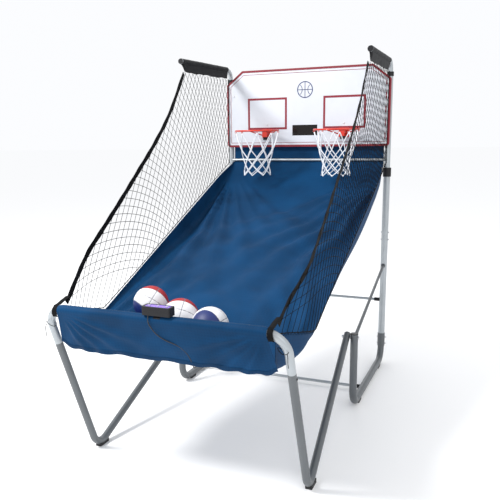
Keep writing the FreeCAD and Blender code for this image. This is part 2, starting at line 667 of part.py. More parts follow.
def rim_bracket(side):
    """Welded channel that ties a ring to the board, with two side stays."""
    x = side * RIM_X
    face = BOARD_FRONT
    plate = box(x - BRACKET_W / 2, x + BRACKET_W / 2, face - 3, face,
                RIM_Z - BRACKET_H + 10, RIM_Z + 10)
    neck_y = RIM_Y + RIM_R + 1
    neck = box(x - BRACKET_W / 4, x + BRACKET_W / 4, neck_y, face - 3,
               RIM_Z - BRACKET_H + 18, RIM_Z + 4)
    body = plate.fuse(neck)
    for way in (1, -1):
        a = math.radians(90 - 38 * way)
        end = (x + RIM_R * math.cos(a), RIM_Y + RIM_R * math.sin(a), RIM_Z - 5)
        stay = rod((x + way * (BRACKET_W / 4 - 5), face - 9, RIM_Z - BRACKET_H + 24), end, 4.0)
        body = body.fuse(stay)
    return body.cut(rim(side)).cut(Part.makeTorus(RIM_R, RIM_ROD + SEAT, V(x, RIM_Y, RIM_Z)))


def hoop_net(side):
    """Outer shape of a hanging hoop net, open above and below."""
    x = side * RIM_X
    top = RIM_Z - RIM_ROD - 10
    low = RIM_Z - NET_LEN
    waist = low + 0.35 * NET_LEN
    r_top = RIM_R - 2
    outer = [(r_top, top), (NET_WAIST_R, waist), (NET_WAIST_R + 8, low)]
    inner = [(r - 4, z) for r, z in outer]
    pts = [V(x + r, RIM_Y, z) for r, z in outer + inner[::-1]]
    face = Part.Face(Part.makePolygon(pts + [pts[0]]))
    return face.revolve(V(x, RIM_Y, 0), V(0, 0, 1), 360)


def board_bracket(z):
    """Saddle block and clamp bolt between the panel and an inner post."""
    block = box(BASE_HALF - 26, BASE_HALF - 2, BOARD_BACK + TRIM_T, UPRIGHT_Y, z - 22, z + 22)
    block = block.fuse(box(BASE_HALF - 60, BASE_HALF - 2, BOARD_BACK, BOARD_BACK + 4,
                           z - 22, z + 22))
    block = block.cut(box(BASE_HALF - 12, BASE_HALF + 40, BOARD_BACK - 5,
                          BOARD_BACK + TRIM_T + 0.5, z - 30, z + 30))
    return block.cut(rod((BASE_HALF, UPRIGHT_Y, z - 40), (BASE_HALF, UPRIGHT_Y, z + 40),
                         LEG_R + SEAT))


def board_screw(x, z):
    """Dome-headed machine screw through the panel, with its nut behind."""
    dome = Part.makeSphere(7.0, V(x, BOARD_FRONT + 3.6, z))
    dome = dome.common(box(x - 8, x + 8, BOARD_FRONT - 8, BOARD_FRONT, z - 8, z + 8))
    shank = rod((x, BOARD_FRONT, z), (x, BOARD_BACK + 14, z), 3.0)
    nut = hexagon((x, BOARD_BACK + 5, z), (0, 1, 0), 10.0, 5.0)
    return dome.fuse([shank, nut]).removeSplitter()


def drilled(shape):
    """Take the screw holes out of a piece that the board screws pass through."""
    for side in (1, -1):
        for z in BOARD_SCREW_ZS:
            x = side * (BASE_HALF - 40)
            shape = shape.cut(rod((x, BOARD_FRONT - 10, z), (x, BOARD_BACK + 30, z), 3.0))
        for dx, dz in RIM_SCREWS:
            x, z = side * RIM_X + dx, RIM_Z + dz
            shape = shape.cut(rod((x, BOARD_FRONT - 20, z), (x, BOARD_BACK + 30, z), 3.0))
    return shape


def score_case():
    """Moulded box behind the window that holds the display and the batteries."""
    y0, y1 = BOARD_BACK + CLEAR, BOARD_BACK + CASE_DEPTH
    outer = window_box(18, y0, y1)
    outer = outer.makeFillet(6.0, edges_along(outer, "Y"))
    inner = window_box(15, y0 + 3, y1 - 3)
    body = outer.cut(inner).cut(window_box(0, y0 - 5, y0 + 5))
    return body


def score_window():
    """Smoked cover flush with the face of the board."""
    return window_box(-CLEAR, BOARD_FRONT + 1, BOARD_FRONT + 4)


def score_circuit():
    y = BOARD_BACK + CIRCUIT_IN
    return window_box(8, y, y + CIRCUIT_T)


def score_digits():
    """Three pairs of display digits on the circuit."""
    y = BOARD_BACK + CIRCUIT_IN
    blocks = [box(x - 19, x + 19, y - 7, y, WINDOW_Z - 24, WINDOW_Z + 24)
              for x in (-58, 0, 58)]
    return group(blocks)


def speaker():
    y = BOARD_BACK + CIRCUIT_IN + CIRCUIT_T + SEAT
    at = (-62, y, WINDOW_Z)
    body = rod(at, (-62, y + 14, WINDOW_Z), 26.0)
    return body.fuse(rod((-62, y + 14, WINDOW_Z), (-62, y + 24, WINDOW_Z), 14.0))


def battery_box():
    y = BOARD_BACK + CIRCUIT_IN + CIRCUIT_T + SEAT
    return box(8, 96, y, BOARD_BACK + CASE_DEPTH - 3 - CLEAR, WINDOW_Z - 32, WINDOW_Z + 32)


def sensor(side):
    """Infra-red ball sensor under a rim bracket."""
    x = side * RIM_X
    z = RIM_Z - BRACKET_H + 18 - CLEAR
    body = box(x - 16, x + 16, BOARD_FRONT - 44, BOARD_FRONT - 4, z - 20, z)
    return body.makeFillet(3.0, edges_along(body, "Z"))


def snap_button():
    """Sprung button of an inner post: dome, stem and the leaf that pushes it."""
    y0 = UPRIGHT_Y + LEG_R - TUBE_WALL - 9
    z = HOLE_Z0
    stem = rod((BASE_HALF, y0 + 2, z), (BASE_HALF, UPRIGHT_Y + FRAME_R + 0.5, z), SNAP_R)
    dome = Part.makeSphere(SNAP_R, V(BASE_HALF, UPRIGHT_Y + FRAME_R + 0.5, z))
    leaf = box(BASE_HALF - 5.5, BASE_HALF + 5.5, y0, y0 + 2, z - 16, z + 16)
    return stem.fuse([dome, leaf])


# ---------------------------------------------------------------- controller
def ctrl_box(shrink, z0, z1):
    b = box(CTRL_X - CTRL_W / 2 + shrink, CTRL_X + CTRL_W / 2 - shrink,
            CTRL_Y - CTRL_D / 2 + shrink, CTRL_Y + CTRL_D / 2 - shrink, z0, z1)
    return b.makeFillet(7.0 - shrink, edges_along(b, "Z"))


def controller_base():
    return ctrl_box(0, CTRL_LOW, CTRL_SPLIT).cut(ctrl_box(CTRL_WALL, CTRL_LOW + CTRL_WALL,
                                                         CTRL_SPLIT + 5))


def controller_lid():
    lid = ctrl_box(0, CTRL_SPLIT + CLEAR, CTRL_TOP)
    lid = lid.cut(ctrl_box(CTRL_WALL, CTRL_SPLIT - 5, CTRL_TOP - 2 * CTRL_WALL))
    panel = box(CTRL_X - 58, CTRL_X + 58, CTRL_Y - 17, CTRL_Y + 17,
                CTRL_TOP - 1.5, CTRL_TOP + 5)
    lid = lid.cut(panel)
    for x in BUTTON_XS:
        lid = lid.cut(rod((x, CTRL_Y, CTRL_TOP - 20), (x, CTRL_Y, CTRL_TOP + 5),
                          BUTTON_R + RUN_FIT))
    return lid


def controller_panel():
    """Thin translucent face that glows round the buttons."""
    panel = box(CTRL_X - 57.7, CTRL_X + 57.7, CTRL_Y - 16.7, CTRL_Y + 16.7,
                CTRL_TOP - 1.5, CTRL_TOP - 0.2)
    for x in BUTTON_XS:
        panel = panel.cut(rod((x, CTRL_Y, CTRL_TOP - 20), (x, CTRL_Y, CTRL_TOP + 5),
                              BUTTON_R + CLEAR))
    return panel


def controller_circuit():
    return ctrl_box(CTRL_WALL + 1.0, CTRL_LOW + 9, CTRL_LOW + 10.6)


def controller_button(x):
    body = rod((x, CTRL_Y, CTRL_TOP - 12), (x, CTRL_Y, CTRL_TOP + 2.2), BUTTON_R)
    body = body.makeFillet(1.0, [body.Edges[0]])
    return body.fuse(rod((x, CTRL_Y, CTRL_TOP - 13.5), (x, CTRL_Y, CTRL_TOP - 12), BUTTON_R + 2))


def controller_strap():
    """Strap that holds the controller on the front bar's sleeve."""
    x0, x1 = CTRL_X - 16, CTRL_X + 16
    wrap = ring((x0, BAR_Y, BAR_Z), (x1, BAR_Y, BAR_Z), SLEEVE_R + STRAP_T, SLEEVE_R + SEAT)
    wrap = wrap.common(box(x0, x1, BAR_Y - 40, BAR_Y + 40, BAR_Z + 10, BAR_Z + 40))
    seat = box(x0, x1, BAR_Y - 12, BAR_Y + 12, BAR_Z + SLEEVE_R - 3, CTRL_LOW)
    return wrap.fuse(seat.cut(rod((x0, BAR_Y, BAR_Z), (x1, BAR_Y, BAR_Z), SLEEVE_R + SEAT)))


def lead_points():
    """The lead's route: out of the controller, over the apron, up to the plug."""
    start = (LEAD[0][0], BAR_Y + LEAD[0][1] + 3, CTRL_LOW)
    plug_z = RAMP_LOW_Z - CLOTH - CLEAR - PLUG_R
    end = (LEAD_END[0], BAR_Y + LEAD_END[1], plug_z)
    return [start] + [(x, BAR_Y + dy, BAR_Z + dz) for x, dy, dz in LEAD] + [end]


def controller_lead():
    """Round cord, each bend as large as its two runs allow."""
    points = lead_points()
    pts = [V(*p) for p in points]
    radii = []
    for i in range(1, len(pts) - 1):
        a, b = pts[i] - pts[i - 1], pts[i + 1] - pts[i]
        radii.append(0.45 * min(a.Length, b.Length) / math.tan(a.getAngle(b) / 2))
    route = rounded_path(points, radii)
    print("lead bend radii", [round(r) for r in radii])
    print("lead length %.0f, section x length %.0f"
          % (route.Length, math.pi * LEAD_R ** 2 * route.Length))
    return swept(route, LEAD_R)


def lead_plug():
    """In-line plug under the trough, hollowed where the lead enters it."""
    x, y, z = lead_points()[-1]
    end = V(x, y, z)
    inward = (end - V(*lead_points()[-2])).normalize()
    body = rod((x, y, z), (x, y + PLUG_L, z), PLUG_R)
    return body.cut(rod(tuple(end - inward * PLUG_R), tuple(end), LEAD_R + SEAT))


def ball(x, y, z):
    """Ball that rests in the trough."""
    return Part.makeSphere(BALL_R, V(x, y, z))


def resting_z(y):
    """Height of a ball's centre above the trough's slope, its bend and its floor."""
    tilt = math.atan(TROUGH_SLOPE)
    away = BALL_R + CLEAR
    centre_y = TROUGH_LOW_Y - TROUGH_BEND * math.tan(tilt / 2)
    side = y - centre_y
    if side <= 0:
        return RAMP_LOW_Z + away
    if side < (TROUGH_BEND - away) * math.sin(tilt):
        return RAMP_LOW_Z + TROUGH_BEND - math.sqrt((TROUGH_BEND - away) ** 2 - side ** 2)
    return RAMP_LOW_Z + TROUGH_SLOPE * (y - TROUGH_LOW_Y) + away / math.cos(tilt)


# ---------------------------------------------------------------- build
def frame_bolts():
    """Every 6 mm hex bolt of the uprights, sleeves and crossbar."""
    levels = [(z, FRAME_R + SLEEVE_WALL) for z in SLEEVE_BOLTS]
    levels += [(UPRIGHT_SPLIT_Z + dz, FRAME_R) for dz in SPLIT_BOLTS]
    items = [bolt((BASE_HALF - reach, UPRIGHT_Y, z), (1, 0, 0), 2 * reach)
             for z, reach in levels]
    return group([s for item in items for s in (item, mirrored(item))])


def board_screws():
    items = []
    for side in (1, -1):
        items += [board_screw(side * (BASE_HALF - 40), z) for z in BOARD_SCREW_ZS]
        items += [rim_screw(side * RIM_X + dx, RIM_Z + dz) for dx, dz in RIM_SCREWS]
    return group(items)


def rim_screw(x, z):
    face = BOARD_FRONT - 3 if z < RIM_Z + 10 else BOARD_FRONT
    dome = Part.makeSphere(7.0, V(x, face + 3.6, z))
    dome = dome.common(box(x - 8, x + 8, face - 8, face, z - 8, z + 8))
    shank = rod((x, face, z), (x, BOARD_BACK + 12, z), 3.0)
    nut = hexagon((x, BOARD_BACK, z), (0, 1, 0), 10.0, 5.0)
    return dome.fuse([shank, nut]).removeSplitter()


def frame_nodes():
    right_loop = through_upright(base_loop(), SLEEVE_BOLTS[:1])
    sleeve = through_upright(rear_sleeve(), SLEEVE_BOLTS)
    sockets = group([s for z, y, r, axis in
                     ((FLOOR_TUBE_Z, LOWER_BAR_Y, FRAME_R, (0, 1, 0)),
                      (MID_BAR_Z, UPRIGHT_Y, FRAME_R, (0, 0, 1)))
                     for e in [bar_end(y, z, r, BASE_HALF, axis)] for s in (e, mirrored(e))])
    reach = BASE_HALF - FRAME_R - 4 - CLEAR
    return {
        "base_loop_right": right_loop,
        "base_loop_left": mirrored(right_loop),
        "post_caps": both(post_cap()),
        "rear_sleeves": both(sleeve),
        "uprights_lower": both(upright_lower()),
        "upright_spigots": both(upright_spigot()),
        "uprights_upper": both(upright_upper()),
        "height_collars": both(height_collar()),
        "braces": both(brace()),
        "crossbars": group([cross_tube(LOWER_BAR_Y, FLOOR_TUBE_Z, reach),
                            cross_tube(UPRIGHT_Y, MID_BAR_Z, reach)]),
        "crossbar_sockets": sockets,
        "base_feet": group([f for y in FOOT_PAD_YS
                            for f in (base_foot(y), mirrored(base_foot(y)))]),
        "hinge_bolts": group([s for item in (hinge_bolt(), hinge_washer())
                              for s in (item, mirrored(item))]),
        "frame_bolts": frame_bolts(),
        "ramp_sheet": ramp_sheet(),
        "side_net_right": side_net(),
        "side_net_left": mirrored(side_net()),
    }


def front_nodes():
    leg = front_leg()
    nodes = {
        "front_leg_right": leg,
        "front_leg_left": mirrored(leg),
        "front_bar": front_bar(),
        "leg_caps": both(leg_cap()),
        "front_feet": both(front_foot()),
        "joint_buttons": both(joint_button()),
        "front_apron": front_apron(),
        "ramp_trough": ramp_trough(),
        "controller_base": controller_base(),
        "controller_lid": controller_lid(),
        "controller_panel": controller_panel(),
        "controller_circuit": controller_circuit(),
        "controller_strap": controller_strap(),
        "controller_lead": controller_lead(),
        "lead_plug": lead_plug(),
    }
    for k, x in enumerate(BUTTON_XS):
        nodes["controller_button_%d" % (k + 1)] = controller_button(x)
    for k, (x, back) in enumerate(BALLS_XY):
        nodes["ball_%d" % (k + 1)] = ball(x, BAR_Y + back, resting_z(BAR_Y + back))
    return nodes


def upper_nodes():
    snap = snap_button()
    return {
        "inner_posts": both(inner_post()),
        "net_arms": both(net_arm()),
        "arm_collars": both(arm_collar()),
        "arm_tip_caps": both(arm_tip_cap()),
        "arm_sleeves": both(arm_sleeve()),
        "upper_crossbar": upper_crossbar(),
        "ramp_head": ramp_head(),
        "backboard": drilled(backboard()),
        "board_trim": board_trim(),
        "board_brackets": drilled(group([b for z in BOARD_SCREW_ZS
                                         for b in (board_bracket(z), mirrored(board_bracket(z)))])),
        "board_screws": board_screws(),
        "rims": group([rim(1), rim(-1)]),
        "rim_brackets": drilled(group([rim_bracket(1), rim_bracket(-1)])),
        "hoop_nets": group([hoop_net(1), hoop_net(-1)]),
        "ball_sensors": group([sensor(1), sensor(-1)]),
        "score_case": score_case(),
        "score_window": score_window(),
        "score_circuit": group([score_circuit(), score_digits()]),
        "speaker": speaker(),
        "battery_box": battery_box(),
        "snap_button_right": snap,
        "snap_button_left": mirrored(snap),
    }


def main():
    os.makedirs("parts", exist_ok=True)
    nodes = {}
    for part_of_machine in (frame_nodes(), front_nodes(), upper_nodes()):
        nodes.update(part_of_machine)
    for name, shape in nodes.items():
        export(name, shape)
    print("%d nodes" % len(nodes))


main()
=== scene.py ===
# %% [markdown]
# # Two-hoop basketball machine
# A folding steel frame carries a board with two hoops, and cloth brings the balls back.
# The steel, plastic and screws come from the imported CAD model. This script gives them
# their finishes and makes what is soft: cloth, netting, balls, print and the lead.

# %% Load the frame
import math

import bpy
import bmesh
from mathutils import Matrix, Vector, noise


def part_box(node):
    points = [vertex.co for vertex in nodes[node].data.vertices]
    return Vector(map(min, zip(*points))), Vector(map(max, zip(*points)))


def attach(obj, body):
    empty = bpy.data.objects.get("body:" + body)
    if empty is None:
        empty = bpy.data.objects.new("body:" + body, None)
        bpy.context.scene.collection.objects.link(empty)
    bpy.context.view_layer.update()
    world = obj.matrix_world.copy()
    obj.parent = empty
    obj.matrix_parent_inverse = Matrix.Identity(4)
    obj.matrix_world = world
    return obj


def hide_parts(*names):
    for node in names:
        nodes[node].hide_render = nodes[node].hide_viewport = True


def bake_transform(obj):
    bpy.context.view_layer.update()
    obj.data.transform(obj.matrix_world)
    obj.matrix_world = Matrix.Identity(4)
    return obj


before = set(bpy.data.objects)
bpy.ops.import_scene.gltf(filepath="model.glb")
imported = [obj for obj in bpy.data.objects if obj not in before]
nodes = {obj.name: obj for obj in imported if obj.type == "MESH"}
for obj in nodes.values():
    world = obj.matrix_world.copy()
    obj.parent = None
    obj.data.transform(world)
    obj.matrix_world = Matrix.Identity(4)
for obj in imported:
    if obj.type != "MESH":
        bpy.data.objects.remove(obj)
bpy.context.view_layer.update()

print("CAD nodes:", len(nodes))

# %% [markdown]
# ## Camera
# The camera stands in front, to the right, about level with the hoops' rings. Its aim is
# given as an azimuth, an elevation and a small roll, and its lens is shifted slightly.

# %% Camera
CAM_AT = Vector((1.3454, -3.4050, 1.6261))
CAM_AZ, CAM_EL, CAM_ROLL = (math.radians(a) for a in (23.694, 12.542, -1.032))
CAM_LENS = 46.6                      # millimetres
CAM_SHIFT = (0.0464, 0.0539)
back = Vector((math.sin(CAM_AZ) * math.cos(CAM_EL), -math.cos(CAM_AZ) * math.cos(CAM_EL),
               math.sin(CAM_EL)))
right = (-back).cross(Vector((0, 0, 1))).normalized()
up = right.cross(-back)
right, up = (right * math.cos(CAM_ROLL) + up * math.sin(CAM_ROLL),
             up * math.cos(CAM_ROLL) - right * math.sin(CAM_ROLL))
camera_data = bpy.data.cameras.new("camera")
camera_data.lens = CAM_LENS
camera_data.shift_x, camera_data.shift_y = CAM_SHIFT
camera = bpy.data.objects.new("camera", camera_data)
bpy.context.scene.collection.objects.link(camera)
camera.matrix_world = Matrix((right, up, back)).transposed().to_4x4()
camera.location = CAM_AT
bpy.context.scene.camera = camera
bpy.context.scene.view_settings.view_transform = "Standard"
print("camera at", tuple(round(c, 2) for c in CAM_AT))

# %% [markdown]
# ## Materials
# Every finish is a small node tree. One helper starts a material, and the next ones add
# what real surfaces have: mottled colour, uneven gloss and a fine relief.

# %% Material helpers
def new_material(name, colour, roughness, metallic=0.0, coat=0.0, shine=0.5):
    """A Principled material, and the node tree and shader to build on."""
    mat = bpy.data.materials.new(name)
    mat.use_nodes = True
    tree = mat.node_tree
    shader = tree.nodes["Principled BSDF"]
    shader.inputs["Base Color"].default_value = (*colour, 1)
    shader.inputs["Roughness"].default_value = roughness
    shader.inputs["Metallic"].default_value = metallic
    shader.inputs["Coat Weight"].default_value = coat
    shader.inputs["Specular IOR Level"].default_value = shine
    mat.diffuse_color = (*colour, 1)
    return mat, tree, shader


def link(tree, a, out, b, into):
    tree.links.new(a.outputs[out], b.inputs[into])


def object_noise(tree, scale, detail=3.0):
    """Noise in the piece's own metres."""
    where = tree.nodes.new("ShaderNodeTexCoord")
    texture = tree.nodes.new("ShaderNodeTexNoise")
    texture.inputs["Scale"].default_value = scale
    texture.inputs["Detail"].default_value = detail
    link(tree, where, "Object", texture, "Vector")
    return texture


def mottle(tree, shader, colour, scale, amount):
    """Vary the colour a little above and below its mean."""
    texture = object_noise(tree, scale)
    ramp = tree.nodes.new("ShaderNodeValToRGB")
    ramp.color_ramp.elements[0].position = 0.3
    ramp.color_ramp.elements[1].position = 0.7
    ramp.color_ramp.elements[0].color = (*[c * (1 - amount) for c in colour], 1)
    ramp.color_ramp.elements[1].color = (*[min(1, c * (1 + amount)) for c in colour], 1)
    link(tree, texture, "Fac", ramp, "Fac")
    link(tree, ramp, "Color", shader, "Base Color")
    return ramp


def uneven_gloss(tree, shader, scale, low, high):
    texture = object_noise(tree, scale)
    span = tree.nodes.new("ShaderNodeMapRange")
    span.inputs["To Min"].default_value = low
    span.inputs["To Max"].default_value = high
    link(tree, texture, "Fac", span, "Value")
    link(tree, span, "Result", shader, "Roughness")


def relief(tree, shader, texture, out, distance, strength=1.0):
    bump = tree.nodes.new("ShaderNodeBump")
    bump.inputs["Distance"].default_value = distance
    bump.inputs["Strength"].default_value = strength
    link(tree, texture, out, bump, "Height")
    link(tree, bump, "Normal", shader, "Normal")


# %% [markdown]
# Powder coat is a satin paint with a faint orange-peel skin. Zinc, moulded plastic and
# rubber follow the same recipe with other numbers: colour, gloss, and size of grain.

# %% Hard finishes
MOTTLE_SCALE = 9.0      # of the slow colour change over a hard piece
GLOSS_SCALE = 22.0      # of the patches of duller and brighter gloss
GRAIN_STRENGTH = 0.35


def hard_finish(name, colour, gloss, grain, height, metallic=0.0, coat=0.0, vary=0.06,
                shine=0.5):
    """Paint, plastic, rubber or metal: mottled colour, uneven gloss, fine grain."""
    mat, tree, shader = new_material(name, colour, gloss, metallic, coat, shine)
    mottle(tree, shader, colour, MOTTLE_SCALE, vary)
    uneven_gloss(tree, shader, GLOSS_SCALE, gloss - 0.06, gloss + 0.08)
    relief(tree, shader, object_noise(tree, grain), "Fac", height, GRAIN_STRENGTH)
    return mat


STEEL_DARK = hard_finish("powder_coat_grey", (0.120, 0.130, 0.138), 0.38, 900, 0.0002, 0.35)
STEEL_LIGHT = hard_finish("powder_coat_silver", (0.40, 0.43, 0.45), 0.34, 900, 0.0002, 0.45)
ZINC = hard_finish("zinc_plate", (0.62, 0.62, 0.64), 0.3, 600, 0.0001, 0.9)
PLASTIC = hard_finish("moulded_black_plastic", (0.010, 0.010, 0.012), 0.42, 1400, 0.0002,
                      shine=0.28)
RUBBER = hard_finish("black_rubber", (0.012, 0.012, 0.013), 0.7, 700, 0.0004)
RED_MOULDING = hard_finish("crimson_edging", (0.20, 0.006, 0.017), 0.4, 800, 0.0001)
ORANGE_PAINT = hard_finish("hoop_paint", (0.62, 0.030, 0.012), 0.3, 700, 0.0001, 0.1, 0.4)
BOARD_SHEET = hard_finish("board_sheet", (0.62, 0.640, 0.69), 0.36, 500, 0.0001, vary=0.02)
PRINT_RED = hard_finish("print_crimson", (0.22, 0.006, 0.020), 0.45, 500, 0.0001)
PRINT_BLUE = hard_finish("print_navy", (0.008, 0.020, 0.11), 0.45, 500, 0.0001)
SMOKED = hard_finish("smoked_sheet", (0.006, 0.004, 0.004), 0.12, 300, 0.00005, shine=0.3)
CIRCUIT = hard_finish("solder_mask", (0.01, 0.11, 0.04), 0.4, 400, 0.0002, vary=0.2)
BUTTON = hard_finish("button_cap", (0.42, 0.40, 0.48), 0.45, 900, 0.0001)
LEAD_SKIN = hard_finish("lead_jacket", (0.012, 0.012, 0.014), 0.4, 900, 0.0001)
print("hard finishes:", len(bpy.data.materials))

# %% [markdown]
# The controller's panel is purple film with a painted glow: brightest in the middle, purple at
# its edges. The painted glow is a soft blob of emission in the panel's own coordinates.

# %% Panel with a painted glow
panel_low, panel_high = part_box("controller_panel")
PANEL_MID = (panel_low + panel_high) / 2
PAINTED_LIGHT_SCALE = (17, 40, 40)                  # one over the blob's reach along each axis
# Painted glow: emission, brightest in the middle, stands in for light on the panel.
PAINTED_LIGHT_PANEL, painted_light_tree, painted_light_shader = new_material("painted_light_panel", (0.10, 0.03, 0.30), 0.25, coat=0.5)
painted_light_coords = painted_light_tree.nodes.new("ShaderNodeTexCoord")
painted_light_mapping = painted_light_tree.nodes.new("ShaderNodeMapping")
painted_light_mapping.inputs["Location"].default_value = [-c * s for c, s in zip(PANEL_MID, PAINTED_LIGHT_SCALE)]
painted_light_mapping.inputs["Scale"].default_value = PAINTED_LIGHT_SCALE
painted_light_blob = painted_light_tree.nodes.new("ShaderNodeTexGradient")
painted_light_blob.gradient_type = "SPHERICAL"
painted_light_colour = painted_light_tree.nodes.new("ShaderNodeValToRGB")
painted_light_colour.color_ramp.elements[0].color = (0.05, 0.012, 0.22, 1)
painted_light_colour.color_ramp.elements[1].color = (0.30, 0.14, 0.95, 1)
link(painted_light_tree, painted_light_coords, "Object", painted_light_mapping, "Vector")
link(painted_light_tree, painted_light_mapping, "Vector", painted_light_blob, "Vector")
link(painted_light_tree, painted_light_blob, "Fac", painted_light_colour, "Fac")
link(painted_light_tree, painted_light_colour, "Color", painted_light_shader, "Emission Color")
painted_light_shader.inputs["Emission Strength"].default_value = 1.0

# %% [markdown]
# Woven cloth needs threads that follow it round every fold, so the weave reads the UV map,
# which is laid out in metres. Two sets of bands cross each other, and slow noise fades the
# dye here and there.

# %% Cloth finishes
WEAVE_RATE = 420        # radians of the wave for each metre of cloth
WAVE_UNIT = 20          # radians for each metre of a Wave texture at scale 1


def woven(name, colour, roughness, vary, sheen, rate=WEAVE_RATE):
    """Plain weave on the UV map, with a dye that isn't quite even."""
    mat, tree, shader = new_material(name, colour, roughness, shine=0.09)
    shader.inputs["Sheen Weight"].default_value = sheen
    shader.inputs["Sheen Roughness"].default_value = 0.45
    ramp = mottle(tree, shader, colour, 5.0, vary)
    uv = tree.nodes.new("ShaderNodeUVMap")
    uv.uv_map = "UVMap"
    bands = []
    for direction in ("X", "Y"):
        wave = tree.nodes.new("ShaderNodeTexWave")
        wave.bands_direction = direction
        wave.inputs["Scale"].default_value = rate / WAVE_UNIT
        wave.inputs["Distortion"].default_value = 0.6
        link(tree, uv, "UV", wave, "Vector")
        bands.append(wave)
    cross = tree.nodes.new("ShaderNodeMath")
    cross.operation = "MULTIPLY"
    tree.links.new(bands[0].outputs["Fac"], cross.inputs[0])
    tree.links.new(bands[1].outputs["Fac"], cross.inputs[1])
    relief(tree, shader, cross, "Value", 0.0006, 0.4)
    shade = tree.nodes.new("ShaderNodeMix")
    shade.data_type = "RGBA"
    shade.blend_type = "MULTIPLY"
    shade.inputs["B"].default_value = (0.82, 0.84, 0.88, 1)
    link(tree, cross, "Value", shade, "Factor")
    tree.links.new(ramp.outputs["Color"], shade.inputs["A"])
    tree.links.new(shade.outputs["Result"], shader.inputs["Base Color"])
    return mat


BLUE_CLOTH = woven("blue_polyester", (0.0020, 0.039, 0.110), 0.6, 0.2, 0.02)
BLUE_HEM = woven("blue_hem_tape", (0.0016, 0.030, 0.085), 0.6, 0.12, 0.02)
BLACK_CLOTH = woven("charcoal_polyester", (0.014, 0.0145, 0.016), 0.75, 0.12, 0.08)
WEBBING = woven("black_webbing", (0.004, 0.004, 0.0045), 0.7, 0.1, 0.02, 260)
print("cloth finishes made")

# %% [markdown]
# Cord and thread are braided: a twist runs round them. Ridges of a diagonal wave in object
# coordinates are near enough at this size.

# %% Braided finishes
def braided(name, colour, roughness, scale, shine=0.1):
    mat, tree, shader = new_material(name, colour, roughness, shine=shine)
    mottle(tree, shader, colour, 40.0, 0.08)
    where = tree.nodes.new("ShaderNodeTexCoord")
    wave = tree.nodes.new("ShaderNodeTexWave")
    wave.bands_direction = "DIAGONAL"
    wave.inputs["Scale"].default_value = scale
    link(tree, where, "Object", wave, "Vector")
    relief(tree, shader, wave, "Fac", 0.0006, 0.5)
    return mat


NET_THREAD = braided("black_net_thread", (0.004, 0.0038, 0.0035), 0.75, 120)
HOOP_CORD = braided("white_braid", (0.78, 0.80, 0.84), 0.7, 110)

# %% [markdown]
# ## The lead
# The controller's thin lead comes out under its case, hangs across the apron and turns
# in under the hem, where it ends in a small plug. It is one smooth NURBS line, placed
# from the front bar's axis.

# %% Controller lead
BAR_TUBE_R = 0.01905
bar_low, bar_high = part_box("front_bar")
BAR_Y = bar_low.y + BAR_TUBE_R
BAR_Z = bar_high.z - BAR_TUBE_R
LEAD_R = 0.0022
case_low, case_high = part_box("controller_base")
plug_low, plug_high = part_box("lead_plug")
lead_start = Vector((-0.026, BAR_Y - 0.0245, case_low.z))     # under the case
lead_end = Vector(((plug_low.x + plug_high.x) / 2, plug_low.y, (plug_low.z + plug_high.z) / 2))
LEAD_OFFSETS = [
    (-0.026, -0.0275, 0.009), (-0.025, -0.028, -0.009), (-0.019, -0.019, -0.030),
    (-0.008, -0.011, -0.052), (0.008, -0.004, -0.070), (0.028, 0.001, -0.084),
    (0.050, 0.005, -0.094), (0.074, 0.008, -0.1015), (0.097, 0.012, -0.111),
    (0.116, 0.017, -0.126), (0.130, 0.025, -0.146), (0.139, 0.033, -0.168),
    (0.144, 0.0415, -0.190), (0.145, 0.0485, -0.209), (0.144, 0.061, -0.221),
    (0.142, 0.083, -0.224), (0.140, 0.107, -0.217)]
lead_points = [lead_start] + [Vector((x, BAR_Y + y, BAR_Z + z)) for x, y, z in LEAD_OFFSETS]
lead_points.append(lead_end)
lead_curve = bpy.data.curves.new("controller_lead_line", "CURVE")
lead_curve.dimensions = "3D"
lead_spline = lead_curve.splines.new("NURBS")
lead_spline.points.add(len(lead_points) - 1)
for point, place in zip(lead_spline.points, lead_points):
    point.co = (*place, 1)
lead_spline.order_u = 3
lead_spline.use_endpoint_u = True
lead_spline.resolution_u = 10
lead_curve.bevel_depth = LEAD_R
lead_curve.bevel_resolution = 3
lead_curve.use_fill_caps = True
lead = bpy.data.objects.new("lead_cord", lead_curve)
bpy.context.scene.collection.objects.link(lead)
lead.data.materials.append(LEAD_SKIN)
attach(lead, "front_frame")
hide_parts("controller_lead")
print("lead points:", len(lead_points))

# %% [markdown]
# ## Mesh helpers
# A sheet of cloth is a grid whose points come from a formula. Its UV map is the flat
# cloth in metres, and Solidify gives it its thickness.

# %% Mesh helpers
def add_object(name, mesh, material):
    piece = bpy.data.objects.new(name, mesh)
    bpy.context.scene.collection.objects.link(piece)
    if material:
        mesh.materials.append(material)
    return piece


def bake_modifiers(piece):
    """Replace a piece's mesh by its finished one and drop the modifiers."""
    bpy.context.view_layer.update()
    graph = bpy.context.evaluated_depsgraph_get()
    mesh = bpy.data.meshes.new_from_object(piece.evaluated_get(graph))
    piece.modifiers.clear()
    piece.data = mesh
    return piece


SHARP_ANGLE = math.radians(55)


def sharpen(mesh):
    """Keep smooth shading off the rims, where faces meet at a steep angle."""
    shape = bmesh.new()
    shape.from_mesh(mesh)
    for edge in shape.edges:
        edge.smooth = len(edge.link_faces) == 2 and edge.calc_face_angle(0) < SHARP_ANGLE
    shape.to_mesh(mesh)
    shape.free()


